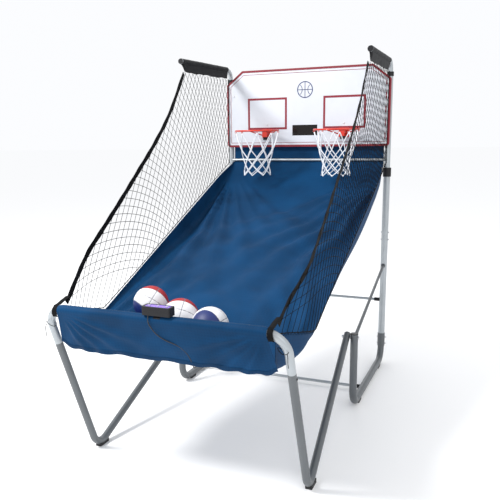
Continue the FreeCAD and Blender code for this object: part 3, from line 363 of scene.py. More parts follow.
def cloth(name, place, us, vs, flat, material, thickness=0.0018, offset=0.0):
    """Grid of place(u, v) over the two lists, thickened; flat is the cloth's size."""
    mesh = bpy.data.meshes.new(name)
    points = [place(u, v) for v in vs for u in us]
    n = len(us)
    faces = [(j * n + i, j * n + i + 1, (j + 1) * n + i + 1, (j + 1) * n + i)
             for j in range(len(vs) - 1) for i in range(n - 1)]
    mesh.from_pydata(points, [], faces)
    uv = mesh.uv_layers.new(name="UVMap")
    for loop in mesh.loops:
        j, i = divmod(loop.vertex_index, n)
        across = (us[i] - us[0]) / (us[-1] - us[0])
        along = (vs[j] - vs[0]) / (vs[-1] - vs[0])
        uv.data[loop.index].uv = (across * flat[0], along * flat[1])
    piece = add_object(name, mesh, material)
    mesh.shade_smooth()
    skin = piece.modifiers.new("thickness", "SOLIDIFY")
    skin.thickness = thickness
    skin.offset = offset
    bake_modifiers(piece)
    sharpen(piece.data)
    return piece


def cloth_area(piece):
    """Area of one side of the cloth: its two faces are nearly all of its surface."""
    return sum(p.area for p in piece.data.polygons) / 2


def steps(a, b, count):
    """count + 1 evenly spaced numbers from a to b."""
    return [a + (b - a) * k / count for k in range(count + 1)]


def smooth(a, b, x):
    """0 below a, 1 above b, and an S-curve between."""
    t = min(1.0, max(0.0, (x - a) / (b - a)))
    return t * t * (3 - 2 * t)


def through(points):
    """Smooth curve y(x) through the points, with no overshoot worth seeing."""
    xs = [p[0] for p in points]
    ys = [p[1] for p in points]
    slopes = [(y1 - y0) / (x1 - x0) for (x0, y0), (x1, y1) in zip(points, points[1:])]
    bends = [slopes[0]] + [(a + b) / 2 for a, b in zip(slopes, slopes[1:])] + [slopes[-1]]

    def value(x):
        k = max(0, min(len(xs) - 2, sum(1 for a in xs if a <= x) - 1))
        h = xs[k + 1] - xs[k]
        t = min(1.0, max(0.0, (x - xs[k]) / h))
        return ((2 * t ** 3 - 3 * t ** 2 + 1) * ys[k] + (t ** 3 - 2 * t ** 2 + t) * h * bends[k]
                + (3 * t ** 2 - 2 * t ** 3) * ys[k + 1] + (t ** 3 - t ** 2) * h * bends[k + 1])
    return value


# %% [markdown]
# ## Cloth that crosses the joints
# The ramp and the side nets reach over both joints: the front folds, and the board rises.
# Each is cut in two along a sloping line between the two bodies that move. The lower part spans
# the front frame and the rear frame, the upper part the rear frame and the unit that rises.
# Both parts stay where they are made: each has its transform baked into its mesh.

# %% Cut line
SLANT = Vector((0, 0.73, 0.68))      # up the ramp
CUT = 0.710


def along_slant(point):
    return SLANT.y * point[1] + SLANT.z * point[2]


def blend_low(piece):
    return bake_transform(piece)


def blend_high(piece):
    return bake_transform(piece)


# %% [markdown]
# ## The ramp
# The real ramp is one piece of polyester laced to the nets at its edges and slung
# behind the upper crossbar, so it hangs like a shallow gutter: steep sides, a slack floor
# that curves up to the bar. Folds run out from its four pulled corners. A formula gives
# all of this: a floor line, an edge line, a rounded step between them, and the folds.

# %% Shape of the ramp
ramp_low_corner, ramp_high_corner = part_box("ramp_sheet")
trough_low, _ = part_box("ramp_trough")
TOP_Y = ramp_high_corner.y + 0.001
EDGE_TOP = ramp_high_corner.z
SEAM_Y = ramp_low_corner.y
FRONT_Y = trough_low.y
FLOOR_Z = trough_low.z + 0.004
EDGE_SLOPE = 0.3965
HALF_WIDTH = 0.5655
TOP_HALF = 0.546
SIDE_ROUND = 0.045
FLOOR = through([(FRONT_Y, FLOOR_Z), (-0.88, FLOOR_Z), (-0.75, 0.680), (-0.60, 0.7315),
                 (-0.45, 0.783), (-0.30, 0.826), (0.0, 0.911), (0.3, 1.004), (0.6, 1.113),
                 (0.8, 1.202), (0.95, 1.294), (1.04, 1.366), (TOP_Y, EDGE_TOP)])
FRONT_RISE_Y = -0.65    # in front of this the laced edge climbs to the bar
FRONT_SLOPE = 0.24
CORNER_PULL = 0.050     # how far the nets' front corners are tied in


def edge_z(y):
    """Height of the cloth's laced edge; in front it climbs to the bar."""
    if y < FRONT_RISE_Y:
        low = EDGE_TOP + EDGE_SLOPE * (FRONT_RISE_Y - TOP_Y)
        return low + FRONT_SLOPE * (FRONT_RISE_Y - y)
    return EDGE_TOP + EDGE_SLOPE * (y - TOP_Y)


def pull_in(y):
    """The nets' front corners are tied in towards the apron's ends."""
    return CORNER_PULL * smooth(0.72, 1.06, -y)


def half_width(y):
    return HALF_WIDTH + (TOP_HALF - HALF_WIDTH) * smooth(0.86, TOP_Y, y) - pull_in(y)


FANS = [  # corner y, first angle, pitch, folds, height, width, reach
    (1.10, 8.5, 8.5, 5, 0.050, 2.8, 2.0),
    (-0.98, 10.0, 12.0, 5, 0.024, 4.0, 1.1)]


def folds(x, y):
    """Height of the folds that radiate from the corners."""
    total = 0.0
    for side in (1, -1):
        for corner_y, first, pitch, count, height, wide, reach in FANS:
            dx = side * HALF_WIDTH - x
            dy = corner_y - y
            away = math.hypot(dx, dy)
            angle = math.degrees(math.atan2(abs(dx), abs(dy)))
            fade = smooth(0.06, 0.45, away) * (1 - smooth(0.5 * reach, reach, away))
            wander = 2.2 * noise.noise(Vector((3.1 * away, side * 4.0, corner_y)))
            for k in range(count):
                at = first + pitch * k + wander + (1.3 if side > 0 else 0.0)
                width = wide + 0.45 * k
                total += height * fade * (0.82 ** k) * math.exp(-((angle - at) / width) ** 2)
    total += 0.012 * noise.noise(Vector((x * 2.6, y * 1.5, 5.0)))
    total += 0.0030 * noise.noise(Vector((x * 12, y * 4, 9.0)))
    return total


def ramp_point(u, y):
    """u runs over the cloth's width from -1 to 1, hem to hem."""
    side = 1 if u > 0 else -1
    half = half_width(y)
    depth = max(0.0, edge_z(y) - FLOOR(y))
    bend = min(SIDE_ROUND, depth * 0.75)
    wall = max(0.0, depth - bend)
    arc = bend * math.pi / 2
    flat = half - bend
    run = (1 - abs(u)) * (wall + arc + flat)
    if run < wall:
        x, z = half, edge_z(y) - run
    elif run < wall + arc and bend > 0:
        turn = (run - wall) / bend
        x = half - bend * (1 - math.cos(turn))
        z = FLOOR(y) + bend * (1 - math.sin(turn))
    else:
        x = flat - (run - wall - arc)
        z = FLOOR(y)
    inner = smooth(0.0, 0.12, 1 - abs(u)) * (1 - smooth(0.93, TOP_Y, y))
    inner *= smooth(FRONT_Y, FRONT_Y + 0.10, y)
    crown = folds(side * x, y) * inner
    sway = 0.003 * noise.noise(Vector((y * 6, side * 2.0, 1.0)))
    return Vector((side * (x + sway * (1 - inner) * 0.5), y, z + crown - 0.004 * inner))


ACROSS = sorted(set([round(s * (1 - a), 5) for s in (1, -1) for a in
                     steps(0, 0.16, 12) + steps(0.16, 1.0, 40)[1:]]))
print("points across the ramp:", len(ACROSS))

# %% [markdown]
# The cut line isn't level, so the row of points where the ramp is cut follows it: each
# row's depth is worked out per column between the seam, the cut and the top bar.

# %% Make the ramp in three pieces
def cut_depth(u):
    """Depth at which the ramp crosses the cut, in this column."""
    a, b = SEAM_Y, TOP_Y
    for _ in range(18):
        m = (a + b) / 2
        if along_slant(ramp_point(u, m)) < CUT:
            a = m
        else:
            b = m
    return a


CUT_DEPTH = {u: cut_depth(u) for u in ACROSS}
RAMP_WIDTH = 1.26
TROUGH_FLAT = (RAMP_WIDTH, 0.62)
FRONT_FLAT = (RAMP_WIDTH, 0.545)
BACK_FLAT = (RAMP_WIDTH, 1.19)


def lower_ramp(u, v):
    return ramp_point(u, SEAM_Y + (CUT_DEPTH[u] - SEAM_Y) * v)


def upper_ramp(u, v):
    return ramp_point(u, CUT_DEPTH[u] + (TOP_Y - CUT_DEPTH[u]) * v)


trough = cloth("trough_cloth", ramp_point, ACROSS, steps(FRONT_Y, SEAM_Y, 46), TROUGH_FLAT,
               BLUE_CLOTH)
ramp_front = cloth("ramp_cloth_front", lower_ramp, ACROSS, steps(0, 1, 44), FRONT_FLAT,
                   BLUE_CLOTH)
ramp_back = cloth("ramp_cloth_back", upper_ramp, ACROSS, steps(0, 1, 84), BACK_FLAT,
                  BLUE_CLOTH)
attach(trough, "front_frame")
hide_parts("ramp_trough")
blend_low(ramp_front)
blend_high(ramp_back)
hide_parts("ramp_sheet")
for piece in (trough, ramp_front, ramp_back):
    print(piece.name, "area %.3f" % cloth_area(piece))

# %% [markdown]
# ## Behind the board
# The ramp's cloth runs on up behind the crossbar and hides the gap below the board.

# %% Head cloth
head_low, head_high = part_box("ramp_head")
HEAD_HALF = 0.545
HEAD_FLAT = (1.09, 0.136)


def head_point(u, v):
    z = head_low.z + (head_high.z - head_low.z) * v
    ripple = 0.0016 * math.sin(u * 19 + 2 * noise.noise(Vector((u * 3, 0, 4))))
    return Vector((u * HEAD_HALF, head_low.y + 0.0022 + ripple * (1 - v), z))


head = cloth("ramp_head_cloth", head_point, steps(-1, 1, 90), steps(0, 1, 12),
             HEAD_FLAT, BLUE_CLOTH, 0.0012)
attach(head, "upper_unit")
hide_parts("ramp_head")

# %% [markdown]
# ## The apron
# A sleeve of the same cloth is pulled over the front bar and hangs down in front, along
# the leaning arms. Its section is half a turn round the bar, then a straight fall to the
# hem. Pull at the two upper corners makes slanted folds.

# %% Apron
apron_low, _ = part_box("front_apron")
SLEEVE_R = 0.0212
APRON_LOW = apron_low.z
LEAN = 0.3795                     # how far the apron leans out for each metre up
LEAN_ANGLE = math.atan(LEAN)
TOP_WIDE, LOW_WIDE = 0.506, 0.535
BEND_FROM, BEND_R = 0.477, 0.105  # where the bar starts to curve down, and its radius
WRAP_BACK = math.radians(-55)


def bar_drop(x):
    """How far the bar's axis has curved down at this place."""
    past = max(0.0, abs(x) - BEND_FROM)
    return BEND_R - math.sqrt(BEND_R ** 2 - min(past, 0.06) ** 2)


WRAP = math.pi + LEAN_ANGLE - WRAP_BACK
WRAP_SHARE = 0.30


def apron_folds(x, fall):
    """Slanted folds from both corners and small puckers over the hem."""
    total = 0.0
    for side in (1, -1):
        dx = (TOP_WIDE - side * x)
        angle = math.degrees(math.atan2(fall + 0.01, max(dx, 0.001)))
        away = math.hypot(dx, fall)
        fade = smooth(0.03, 0.12, away) * (1 - smooth(0.25, 0.62, away))
        for k, at in enumerate((17, 31, 46, 63)):
            total += 0.0080 * fade * math.exp(-((angle - at) / (3.8 + k)) ** 2)
    total += 0.0060 * noise.noise(Vector((x * 7 + fall * 9, fall * 5, 2.0)))
    total += 0.0042 * max(0.0, math.sin(x * 31 + fall * 24)) * smooth(0.03, 0.16, fall)
    return total


def apron_point(u, v):
    """v runs from behind the bar, over it and down to the hem."""
    if v < WRAP_SHARE:
        turn = WRAP_BACK + WRAP * v / WRAP_SHARE
        x = u * TOP_WIDE
        puff = 0.0007 * noise.noise(Vector((x * 16, turn, 0)))
        return Vector((x, BAR_Y + (SLEEVE_R + puff) * math.cos(turn),
                       BAR_Z - bar_drop(x) + (SLEEVE_R + puff) * math.sin(turn)))
    share = (v - WRAP_SHARE) / (1 - WRAP_SHARE)
    turn = WRAP_BACK + WRAP
    x0 = u * TOP_WIDE
    y0 = BAR_Y + SLEEVE_R * math.cos(turn)
    z0 = BAR_Z - bar_drop(x0) + SLEEVE_R * math.sin(turn)
    corner = 0.030 * smooth(0.86, 1.0, abs(u)) ** 2
    z1 = APRON_LOW + corner + 0.0022 * math.sin(x0 * 23) + 0.002 * math.sin(x0 * 61 + 1)
    z = z0 + (z1 - z0) * share
    fall = z0 - z
    x = x0 * (1 + (LOW_WIDE / TOP_WIDE - 1) * share)
    out = apron_folds(x, fall) * smooth(0.0, 0.05, fall)
    y = y0 + LEAN * fall - out * math.cos(LEAN_ANGLE)
    return Vector((x, y, z - out * math.sin(LEAN_ANGLE)))


APRON_ROWS = steps(0, WRAP_SHARE, 14) + steps(WRAP_SHARE, 1, 34)[1:]
apron = cloth("apron_cloth", apron_point, steps(-1, 1, 170), APRON_ROWS, (1.04, 0.30),
              BLUE_CLOTH, 0.0016)
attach(apron, "front_frame")
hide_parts("front_apron")
print("apron area %.3f" % cloth_area(apron))

# %% [markdown]
# A folded hem is a second layer: a darker strip laid along the apron's lower edge.

# %% Apron hem
HEM_FROM = 0.93
HEM_LIFT = 0.0017       # so the hem lies on the apron's cloth


def hem_point(u, v):
    place = apron_point(u, HEM_FROM + (1 - HEM_FROM) * v)
    return place + Vector((0, -math.cos(LEAN_ANGLE), -math.sin(LEAN_ANGLE))) * HEM_LIFT


hem = cloth("apron_hem", hem_point, steps(-1, 1, 170), steps(0, 1, 4), (1.06, 0.016), BLUE_HEM,
            0.0012)
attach(hem, "front_frame")

# %% [markdown]
# ## Side nets
# Each side is a net of diamonds in a nearly flat plane, hung from the sleeved arm and
# laced to the ramp. The lattice is made of two families of strings. A string bends as the
# diamonds change from tall ones at the back to leaning ones at the front, and it ends at
# the outline of the panel.

# %% Outline of a side net
net_low, net_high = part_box("side_net_right")
NET_X = (net_low.x + net_high.x) / 2
NET_TOP = net_high.z
NET_BACK = net_high.y
NET_FRONT = net_low.y
BAND_LINE = [(0.345, NET_TOP), (0.150, 1.766), (-0.060, 1.578), (-0.240, 1.443),
             (-0.430, 1.303), (-0.620, 1.168), (-0.800, 1.046), (-0.950, 0.942),
             (NET_FRONT + 0.004, 0.873)]
band_at = through([(-y, z) for y, z in BAND_LINE])


def net_ceiling(y):
    """Top limit of the net at a depth y: the arm's sleeve or the slanting band."""
    return NET_TOP if y > BAND_LINE[0][0] else band_at(-y)


def net_floor(y):
    return edge_z(y) + 0.006


def in_net(y, z):
    return NET_FRONT < y < NET_BACK and net_floor(y) < z < net_ceiling(y)


# %% [markdown]
# Strings of the first family climb towards the board. Strings of the second fall towards it
# at the back and run nearly level in front. Both are walked in small steps, and a step's
# slope depends only on how far back it is, so strings of one family never cross.

# %% Walk the strings
CELL = 0.052
STRING_GAP = CELL * 0.82
WALK_STEP = 0.012


def string_slope(y, z, family):
    """Direction of a string: steeper at the back, leaning with the ramp in front."""
    back_share = smooth(-0.9, 0.9, y)
    middle = math.radians(33 * (1 - back_share))
    opening = math.radians(27 + 33 * back_share)
    angle = middle + opening * family
    return math.cos(angle), math.sin(angle)


def walk(y, z, family):
    """Follow one string both ways from a seed until it leaves the outline."""
    halves = []
    for way in (1, -1):
        line = []
        py, pz = y, z
        while in_net(py, pz):
            line.append((py, pz))
            dy, dz = string_slope(py, pz, family)
            py, pz = py + way * WALK_STEP * dy, pz + way * WALK_STEP * dz
        halves.append(line)
    return halves[1][::-1] + halves[0][1:]


def strings_of(family):
    """Strings seeded one gap apart along the edges where this family starts."""
    seeds = []
    if family > 0:
        lanes = [[(NET_FRONT + 0.001, z) for z in steps(edge_z(NET_FRONT), 0.9, 40)],
                 [(y, net_floor(y) + 0.001) for y in steps(NET_FRONT, NET_BACK, 1200)]]
    else:
        lanes = [[(y, net_ceiling(y) - 0.001) for y in steps(NET_BACK, NET_FRONT, 1400)]]
    gathered = 0.0
    last = None
    for lane in lanes:
        for place in lane:
            if last is not None:
                dy, dz = string_slope(*place, family)
                gathered += abs((place[0] - last[0]) * dz - (place[1] - last[1]) * dy)
            last = place
            if gathered >= STRING_GAP:
                gathered = 0.0
                if in_net(*place):
                    seeds.append(place)
    return [line for line in (walk(y, z, family) for y, z in seeds) if len(line) > 1]


net_strings = strings_of(1) + strings_of(-1)
print("strings in a side net:", len(net_strings))

# %% [markdown]
# A node tree turns lines into round cord. Its radius and number of sides are named
# inputs, so one tree for each material serves every net, tie and lacing made of it.

# %% Cord tree
def cord_tree(material):
    """Geometry Nodes: mesh edges to round cord of one material."""
    tree = bpy.data.node_groups.new("cord_of_" + material.name, "GeometryNodeTree")
    face = tree.interface
    face.new_socket("Geometry", in_out="INPUT", socket_type="NodeSocketGeometry")
    thick = face.new_socket("Radius", in_out="INPUT", socket_type="NodeSocketFloat")
    sides = face.new_socket("Sides", in_out="INPUT", socket_type="NodeSocketInt")
    thick.default_value = 0.001
    sides.default_value = 5
    face.new_socket("Geometry", in_out="OUTPUT", socket_type="NodeSocketGeometry")
    start = tree.nodes.new("NodeGroupInput")
    stop = tree.nodes.new("NodeGroupOutput")
    to_curve = tree.nodes.new("GeometryNodeMeshToCurve")
    profile = tree.nodes.new("GeometryNodeCurvePrimitiveCircle")
    sweep = tree.nodes.new("GeometryNodeCurveToMesh")
    sweep.inputs["Fill Caps"].default_value = True
    real = tree.nodes.new("GeometryNodeRealizeInstances")
    paint = tree.nodes.new("GeometryNodeSetMaterial")
    paint.inputs["Material"].default_value = material
    tree.links.new(start.outputs[0], to_curve.inputs["Mesh"])
    tree.links.new(start.outputs["Radius"], profile.inputs["Radius"])
    tree.links.new(start.outputs["Sides"], profile.inputs["Resolution"])
    tree.links.new(to_curve.outputs["Curve"], sweep.inputs["Curve"])
    tree.links.new(profile.outputs["Curve"], sweep.inputs["Profile Curve"])
    tree.links.new(sweep.outputs["Mesh"], real.inputs["Geometry"])
    tree.links.new(real.outputs["Geometry"], paint.inputs["Geometry"])
    tree.links.new(paint.outputs["Geometry"], stop.inputs[0])
    return tree, thick.identifier, sides.identifier


CORD_TREES = {}


def cords(name, lines, radius, material, sides=5):
    """One mesh of round cords along the given lines of points."""
    if material.name not in CORD_TREES:
        CORD_TREES[material.name] = cord_tree(material)
    tree, radius_id, sides_id = CORD_TREES[material.name]
    points, edges = [], []
    for line in lines:
        first = len(points)
        points += line
        edges += [(first + k, first + k + 1) for k in range(len(line) - 1)]
    mesh = bpy.data.meshes.new(name)
    mesh.from_pydata(points, edges, [])
    piece = add_object(name, mesh, None)
    maker = piece.modifiers.new("cord", "NODES")
    maker.node_group = tree
    maker[radius_id] = radius
    maker[sides_id] = sides
    bake_modifiers(piece)
    piece.data.shade_smooth()
    return piece


# %% [markdown]
# The net is cut at the same slanting line as the ramp. Its strings simply cross: the thread is
# so thin that its knots are left out.

# %% Make the side nets
def split_at_cut(lines):
    """Each line's parts below and above the cut; both keep the crossing point."""
    below, above = [], []
    for line in lines:
        part = [line[0]]
        low = along_slant(line[0]) < CUT
        for point in line[1:]:
            now_low = along_slant(point) < CUT
            part.append(point)
            if now_low != low:
                (below if low else above).append(part)
                part = [point]
                low = now_low
        if len(part) > 1:
            (below if low else above).append(part)
    return below, above


def net_wave(y, z):
    """How far the net bellies out of its plane."""
    return 0.0035 * noise.noise(Vector((y * 2.2, z * 2.2, 7.0))) - pull_in(y)


def on_net(side, line):
    return [Vector((side * (NET_X + net_wave(y, z)), y, z)) for y, z in line]


THREAD_R = 0.0014
EDGE_R = 0.0024
for side, word in ((1, "right"), (-1, "left")):
    below, above = split_at_cut([on_net(side, line) for line in net_strings])
    rim = [on_net(side, [(y, net_floor(y)) for y in steps(NET_FRONT, NET_BACK, 90)]),
           on_net(side, [(NET_BACK, z) for z in steps(net_floor(NET_BACK), NET_TOP, 24)])]
    rim_below, rim_above = split_at_cut(rim)
    parts = [cords("net_front_" + word, below, THREAD_R, NET_THREAD, 4),
             cords("net_back_" + word, above, THREAD_R, NET_THREAD, 4),
             cords("net_edge_front_" + word, rim_below, EDGE_R, NET_THREAD, 6),
             cords("net_edge_back_" + word, rim_above, EDGE_R, NET_THREAD, 6)]
    for k, piece in enumerate(parts):
        (blend_low if k % 2 == 0 else blend_high)(piece)
    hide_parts("side_net_" + word)
    print(word, "net faces:", sum(len(p.data.polygons) for p in parts))

# %% [markdown]
# A band of webbing is sewn along the net's slanting front, from the arm's tip down to the
# front bar.

# %% Webbing bands
BAND_HALF = 0.0150
BAND_TOP_Y = BAND_LINE[0][0]


def band_piece(name, side, ys):
    line = [Vector((0, y, band_at(-y))) for y in ys]
    rows = []
    for k, point in enumerate(line):
        ahead = line[min(k + 1, len(line) - 1)] - line[max(k - 1, 0)]
        across = Vector((0, -ahead.z, ahead.y)).normalized()
        rows.append((point, across if across.z < 0 else -across))

    def place(u, v):
        point, across = rows[round(v)]
        y, z = point.y, point.z
        curl = 0.0012 * math.sin(y * 60) * u
        side_x = NET_X + net_wave(y, z) + curl
        shift = across * (BAND_HALF * (u + 1))
        return Vector((side * side_x, y + shift.y, z + shift.z))

    return cloth(name, place, steps(-1, 1, 4), [float(k) for k in range(len(rows))],
                 (0.030, 1.9), WEBBING, 0.0016)


def band_cut():
    a, b = NET_FRONT, BAND_TOP_Y
    for _ in range(24):
        m = (a + b) / 2
        if along_slant((0, m, band_at(-m))) < CUT:
            a = m
        else:
            b = m
    return a


BAND_CUT = band_cut()
for side, word in ((1, "right"), (-1, "left")):
    low_band = band_piece("band_front_" + word, side, steps(NET_FRONT + 0.006, BAND_CUT, 60))
    high_band = band_piece("band_back_" + word, side, steps(BAND_CUT, BAND_TOP_Y, 70))
    blend_low(low_band)
    blend_high(high_band)
print("band cut at y %.3f" % BAND_CUT)

# %% [markdown]
# ## Arm sleeves
# A cloth sleeve is pushed over each arm, and its lower edge is a skirt the net is sewn
# to. The skirt's front corner is cut away.

# %% Arm sleeves
sleeve_low, sleeve_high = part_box("arm_sleeves")
ARM_SKIN = 0.0172                # radius of the cloth round the tube
ARM_Z = sleeve_high.z - 0.0176   # height of the tube's axis
ARM_FROM, ARM_TO = sleeve_high.y, sleeve_low.y
ARM_TIP_X, ARM_ROOT_X = 0.586, 0.5707
WRAP_PART = 0.5                  # share of the cloth's width that is round the tube
WRAP_ANGLE = math.radians(150)


def sleeve_point(side, u, v):
    """u runs from one hem of the skirt, over the tube, to the other hem."""
    y = ARM_FROM + (ARM_TO - ARM_FROM) * v
    x0 = ARM_ROOT_X + (ARM_TIP_X - ARM_ROOT_X) * v
    r = ARM_SKIN + 0.0012 * noise.noise(Vector((y * 26, u * 3, side * 3.0)))
    if abs(u) <= WRAP_PART:
        angle = u / WRAP_PART * WRAP_ANGLE
        return Vector((side * (x0 + math.sin(angle) * r), y, ARM_Z + math.cos(angle) * r))
    part = (abs(u) - WRAP_PART) / (1 - WRAP_PART)
    angle = math.copysign(WRAP_ANGLE, u)
    top_x, top_z = x0 + math.sin(angle) * r, ARM_Z + math.cos(angle) * r
    hem_z = sleeve_low.z + 0.002 * math.sin(y * 21) + 0.0015 * math.sin(y * 57 + side)
    hem_z += 0.045 * smooth(0.92, 1.0, v) ** 2
    sway = 0.004 * noise.noise(Vector((y * 7, part, side * 9.0))) * part
    x = top_x + (x0 - 0.004 + math.copysign(0.0012, u) - top_x) * smooth(0, 1, part) + sway
    return Vector((side * x, y, top_z + (hem_z - top_z) * part))


for side, word in ((1, "right"), (-1, "left")):
    sleeve = cloth("arm_sleeve_" + word, lambda u, v: sleeve_point(side, u, v),
                   steps(-1, 1, 52), steps(0, 1, 120), (0.19, 0.665), BLACK_CLOTH, 0.0009)
    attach(sleeve, "upper_unit")
    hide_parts("arm_sleeves")
    print(sleeve.name, "area %.4f" % cloth_area(sleeve))

# %% [markdown]
# ## Hoop nets
# Eight hooks hold a net. Two strings leave each hook and weave down through the waist in
# diamonds that get shorter row by row, and the net opens a little at its lower edge. Depth
# and radius of each knot row are listed once, and strings swing half a cell to each side.

# %% Hoop nets
rim_low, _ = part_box("rims")
RIM_X = 0.277
RIM_OUTER = 0.152
RIM_Y = rim_low.y + RIM_OUTER
_, hoop_net_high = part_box("hoop_nets")
HOOKS = 8
TOP_HOOK_Z = hoop_net_high.z - 0.002
ROWS = [(0.0, 0.1435), (0.112, 0.113), (0.168, 0.094), (0.212, 0.086), (0.250, 0.088),
        (0.279, 0.095)]
hoop_radius = through(ROWS)
ROW_STEPS = 7           # points along a string from one knot row to the next


def hoop_place(side, turn, r, fall):
    return Vector((side * RIM_X + r * math.cos(turn), RIM_Y + r * math.sin(turn),
                   TOP_HOOK_Z - fall))


def hoop_string(side, hook, way):
    """One string: swings half a cell out and back as it goes down, row by row."""
    line = []
    for row in range(len(ROWS) - 1):
        fall_a, fall_b = ROWS[row][0], ROWS[row + 1][0]
        last_row = row == len(ROWS) - 2
        for k in range(ROW_STEPS + 1 if last_row else ROW_STEPS):
            t = k / ROW_STEPS
            fall = fall_a + (fall_b - fall_a) * t
            phase = t if row % 2 == 0 else 1 - t
            turn = (hook + 0.5 + way * 0.5 * phase) * 2 * math.pi / HOOKS
            r = hoop_radius(fall) + 0.003 * noise.noise(Vector((turn, fall * 9, side)))
            line.append(hoop_place(side, turn, r, fall))
    return line


hoop_lines = [hoop_string(side, hook, way) for side in (1, -1) for hook in range(HOOKS)
              for way in (1, -1)]
hoop_net = cords("hoop_net_cords", hoop_lines, 0.0036, HOOP_CORD, 7)
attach(hoop_net, "upper_unit")
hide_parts("hoop_nets")

# %% [markdown]
# Strings meet in a knot at every row. The knots are small beads, squashed a little in
# height.

# %% Knots
KNOT_SQUASH = 0.8


def beads(name, places, radius, material):
    mesh = bpy.data.meshes.new(name)
    shape = bmesh.new()
    for place in places:
        made = bmesh.ops.create_icosphere(shape, subdivisions=2, radius=radius)
        for vert in made["verts"]:
            vert.co = Vector((vert.co.x, vert.co.y, vert.co.z * KNOT_SQUASH)) + place
    shape.to_mesh(mesh)
    shape.free()
    mesh.shade_smooth()
    return add_object(name, mesh, material)


knot_places = []
for side in (1, -1):
    for row, (fall, r) in enumerate(ROWS):
        for hook in range(HOOKS):
            turn = (hook + 0.5 + 0.5 * (row % 2)) * 2 * math.pi / HOOKS
            knot_places.append(hoop_place(side, turn, r, fall))
knots = beads("hoop_net_knots", knot_places, 0.0052, HOOP_CORD)
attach(knots, "upper_unit")
print("hoop net knots:", len(knot_places))

# %% [markdown]
# ## Balls
# Seven-inch rubber balls with grey seams: two rings at right angles and a curved seam to
# each side. The seams are pressed into a fine sphere, and each face takes its panel's
# colour: red or blue beyond the curved seams, white between them.

# %% Ball materials
def ball_cover(name, colour):
    mat, tree, shader = new_material(name, colour, 0.5)
    mottle(tree, shader, colour, 14.0, 0.06)
    where = tree.nodes.new("ShaderNodeTexCoord")
    cells = tree.nodes.new("ShaderNodeTexVoronoi")
    cells.inputs["Scale"].default_value = 520
    link(tree, where, "Object", cells, "Vector")
    relief(tree, shader, cells, "Distance", 0.0004, 0.35)
    return mat


BALL_WHITE = ball_cover("ball_white", (0.74, 0.74, 0.76))
BALL_RED = ball_cover("ball_red", (0.36, 0.008, 0.012))
BALL_BLUE = ball_cover("ball_blue", (0.005, 0.018, 0.125))
BALL_SEAM = hard_finish("ball_seam", (0.16, 0.16, 0.18), 0.6, 900, 0.0001)

# %% Make the balls
SEAM_HALF = 0.024       # in radii
SEAM_DEPTH = 0.0016


def curved_seam(d):
    """How far out the curved seams run, in radii."""
    return 0.36 + 0.34 * d.y * d.y


def seam_gap(d):
    """Distance from a direction to the nearest seam, in radii."""
    curved = abs(abs(d.x) - curved_seam(d))
    return min(abs(d.x), abs(d.z), curved / 1.1)


def ball_panel(d, order):
    """Which colour a direction falls in."""
    if abs(d.x) > curved_seam(d):
        return order[0] if d.x > 0 else order[1]
    return order[2] if d.z > 0 else order[3]


def make_ball(k, pole, order):
    """pole is where the first cap points: to the camera's right, up, and at the camera."""
    low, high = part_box("ball_%d" % k)
    middle = (low + high) / 2
    radius = (high.x - low.x) / 2
    first = (right * pole[0] + up * pole[1] + back * pole[2]).normalized()
    third = first.cross(back).normalized()
    spin = Matrix((first, third.cross(first), third)).transposed()
    shape = bmesh.new()
    bmesh.ops.create_icosphere(shape, subdivisions=6, radius=1.0)
    for vert in shape.verts:
        d = vert.co.normalized()
        sink = SEAM_DEPTH * (1 - smooth(0.0, SEAM_HALF * 1.5, seam_gap(d)))
        vert.co = spin @ (d * (radius - sink)) + middle
    back_spin = spin.inverted()
    for face in shape.faces:
        face.smooth = True
        d = (back_spin @ (face.calc_center_median() - middle)).normalized()
        face.material_index = 3 if seam_gap(d) < SEAM_HALF * 0.55 else ball_panel(d, order)
    mesh = bpy.data.meshes.new("ball_%d_cover" % k)
    shape.to_mesh(mesh)
    shape.free()
    piece = add_object("ball_%d_cover" % k, mesh, BALL_WHITE)
    for mat in (BALL_RED, BALL_BLUE, BALL_SEAM):
        mesh.materials.append(mat)
    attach(piece, "ball_%d" % k)
    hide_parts("ball_%d" % k)


make_ball(1, (0.45, 0.80, -0.32), (1, 2, 0, 0))
make_ball(2, (0.22, 0.85, -0.42), (1, 2, 0, 0))
make_ball(3, (-0.25, -0.12, 0.85), (2, 1, 0, 0))

# %% [markdown]
# ## Print on the board
# The face of the board carries a thin red line, two target frames and a plain ball. Each
# is cut from flat shapes a hair thicker than ink, standing on the board's face.

# %% Flat shapes
board_low, board_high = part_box("backboard")
FACE_Y = board_low.y
INK = 0.0006


def flat_mesh(name, polygons, material, lift=0.0):
    """Plates on the board's face; polygons are lists of (x, z)."""
    shape = bmesh.new()
    for outline in polygons:
        pairs = zip(outline, outline[1:] + outline[:1])
        if sum(a[0] * b[1] - b[0] * a[1] for a, b in pairs) < 0:
            outline = outline[::-1]
        front = [shape.verts.new((x, FACE_Y - INK - lift, z)) for x, z in outline]
        rear = [shape.verts.new((x, FACE_Y - 0.0001, z)) for x, z in outline]
        shape.faces.new(front)
        shape.faces.new(rear[::-1])
        for k in range(len(outline)):
            j = (k + 1) % len(outline)
            shape.faces.new((front[j], front[k], rear[k], rear[j]))
    mesh = bpy.data.meshes.new(name)
    shape.to_mesh(mesh)
    shape.free()
    piece = add_object(name, mesh, material)
    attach(piece, "upper_unit")
    return piece


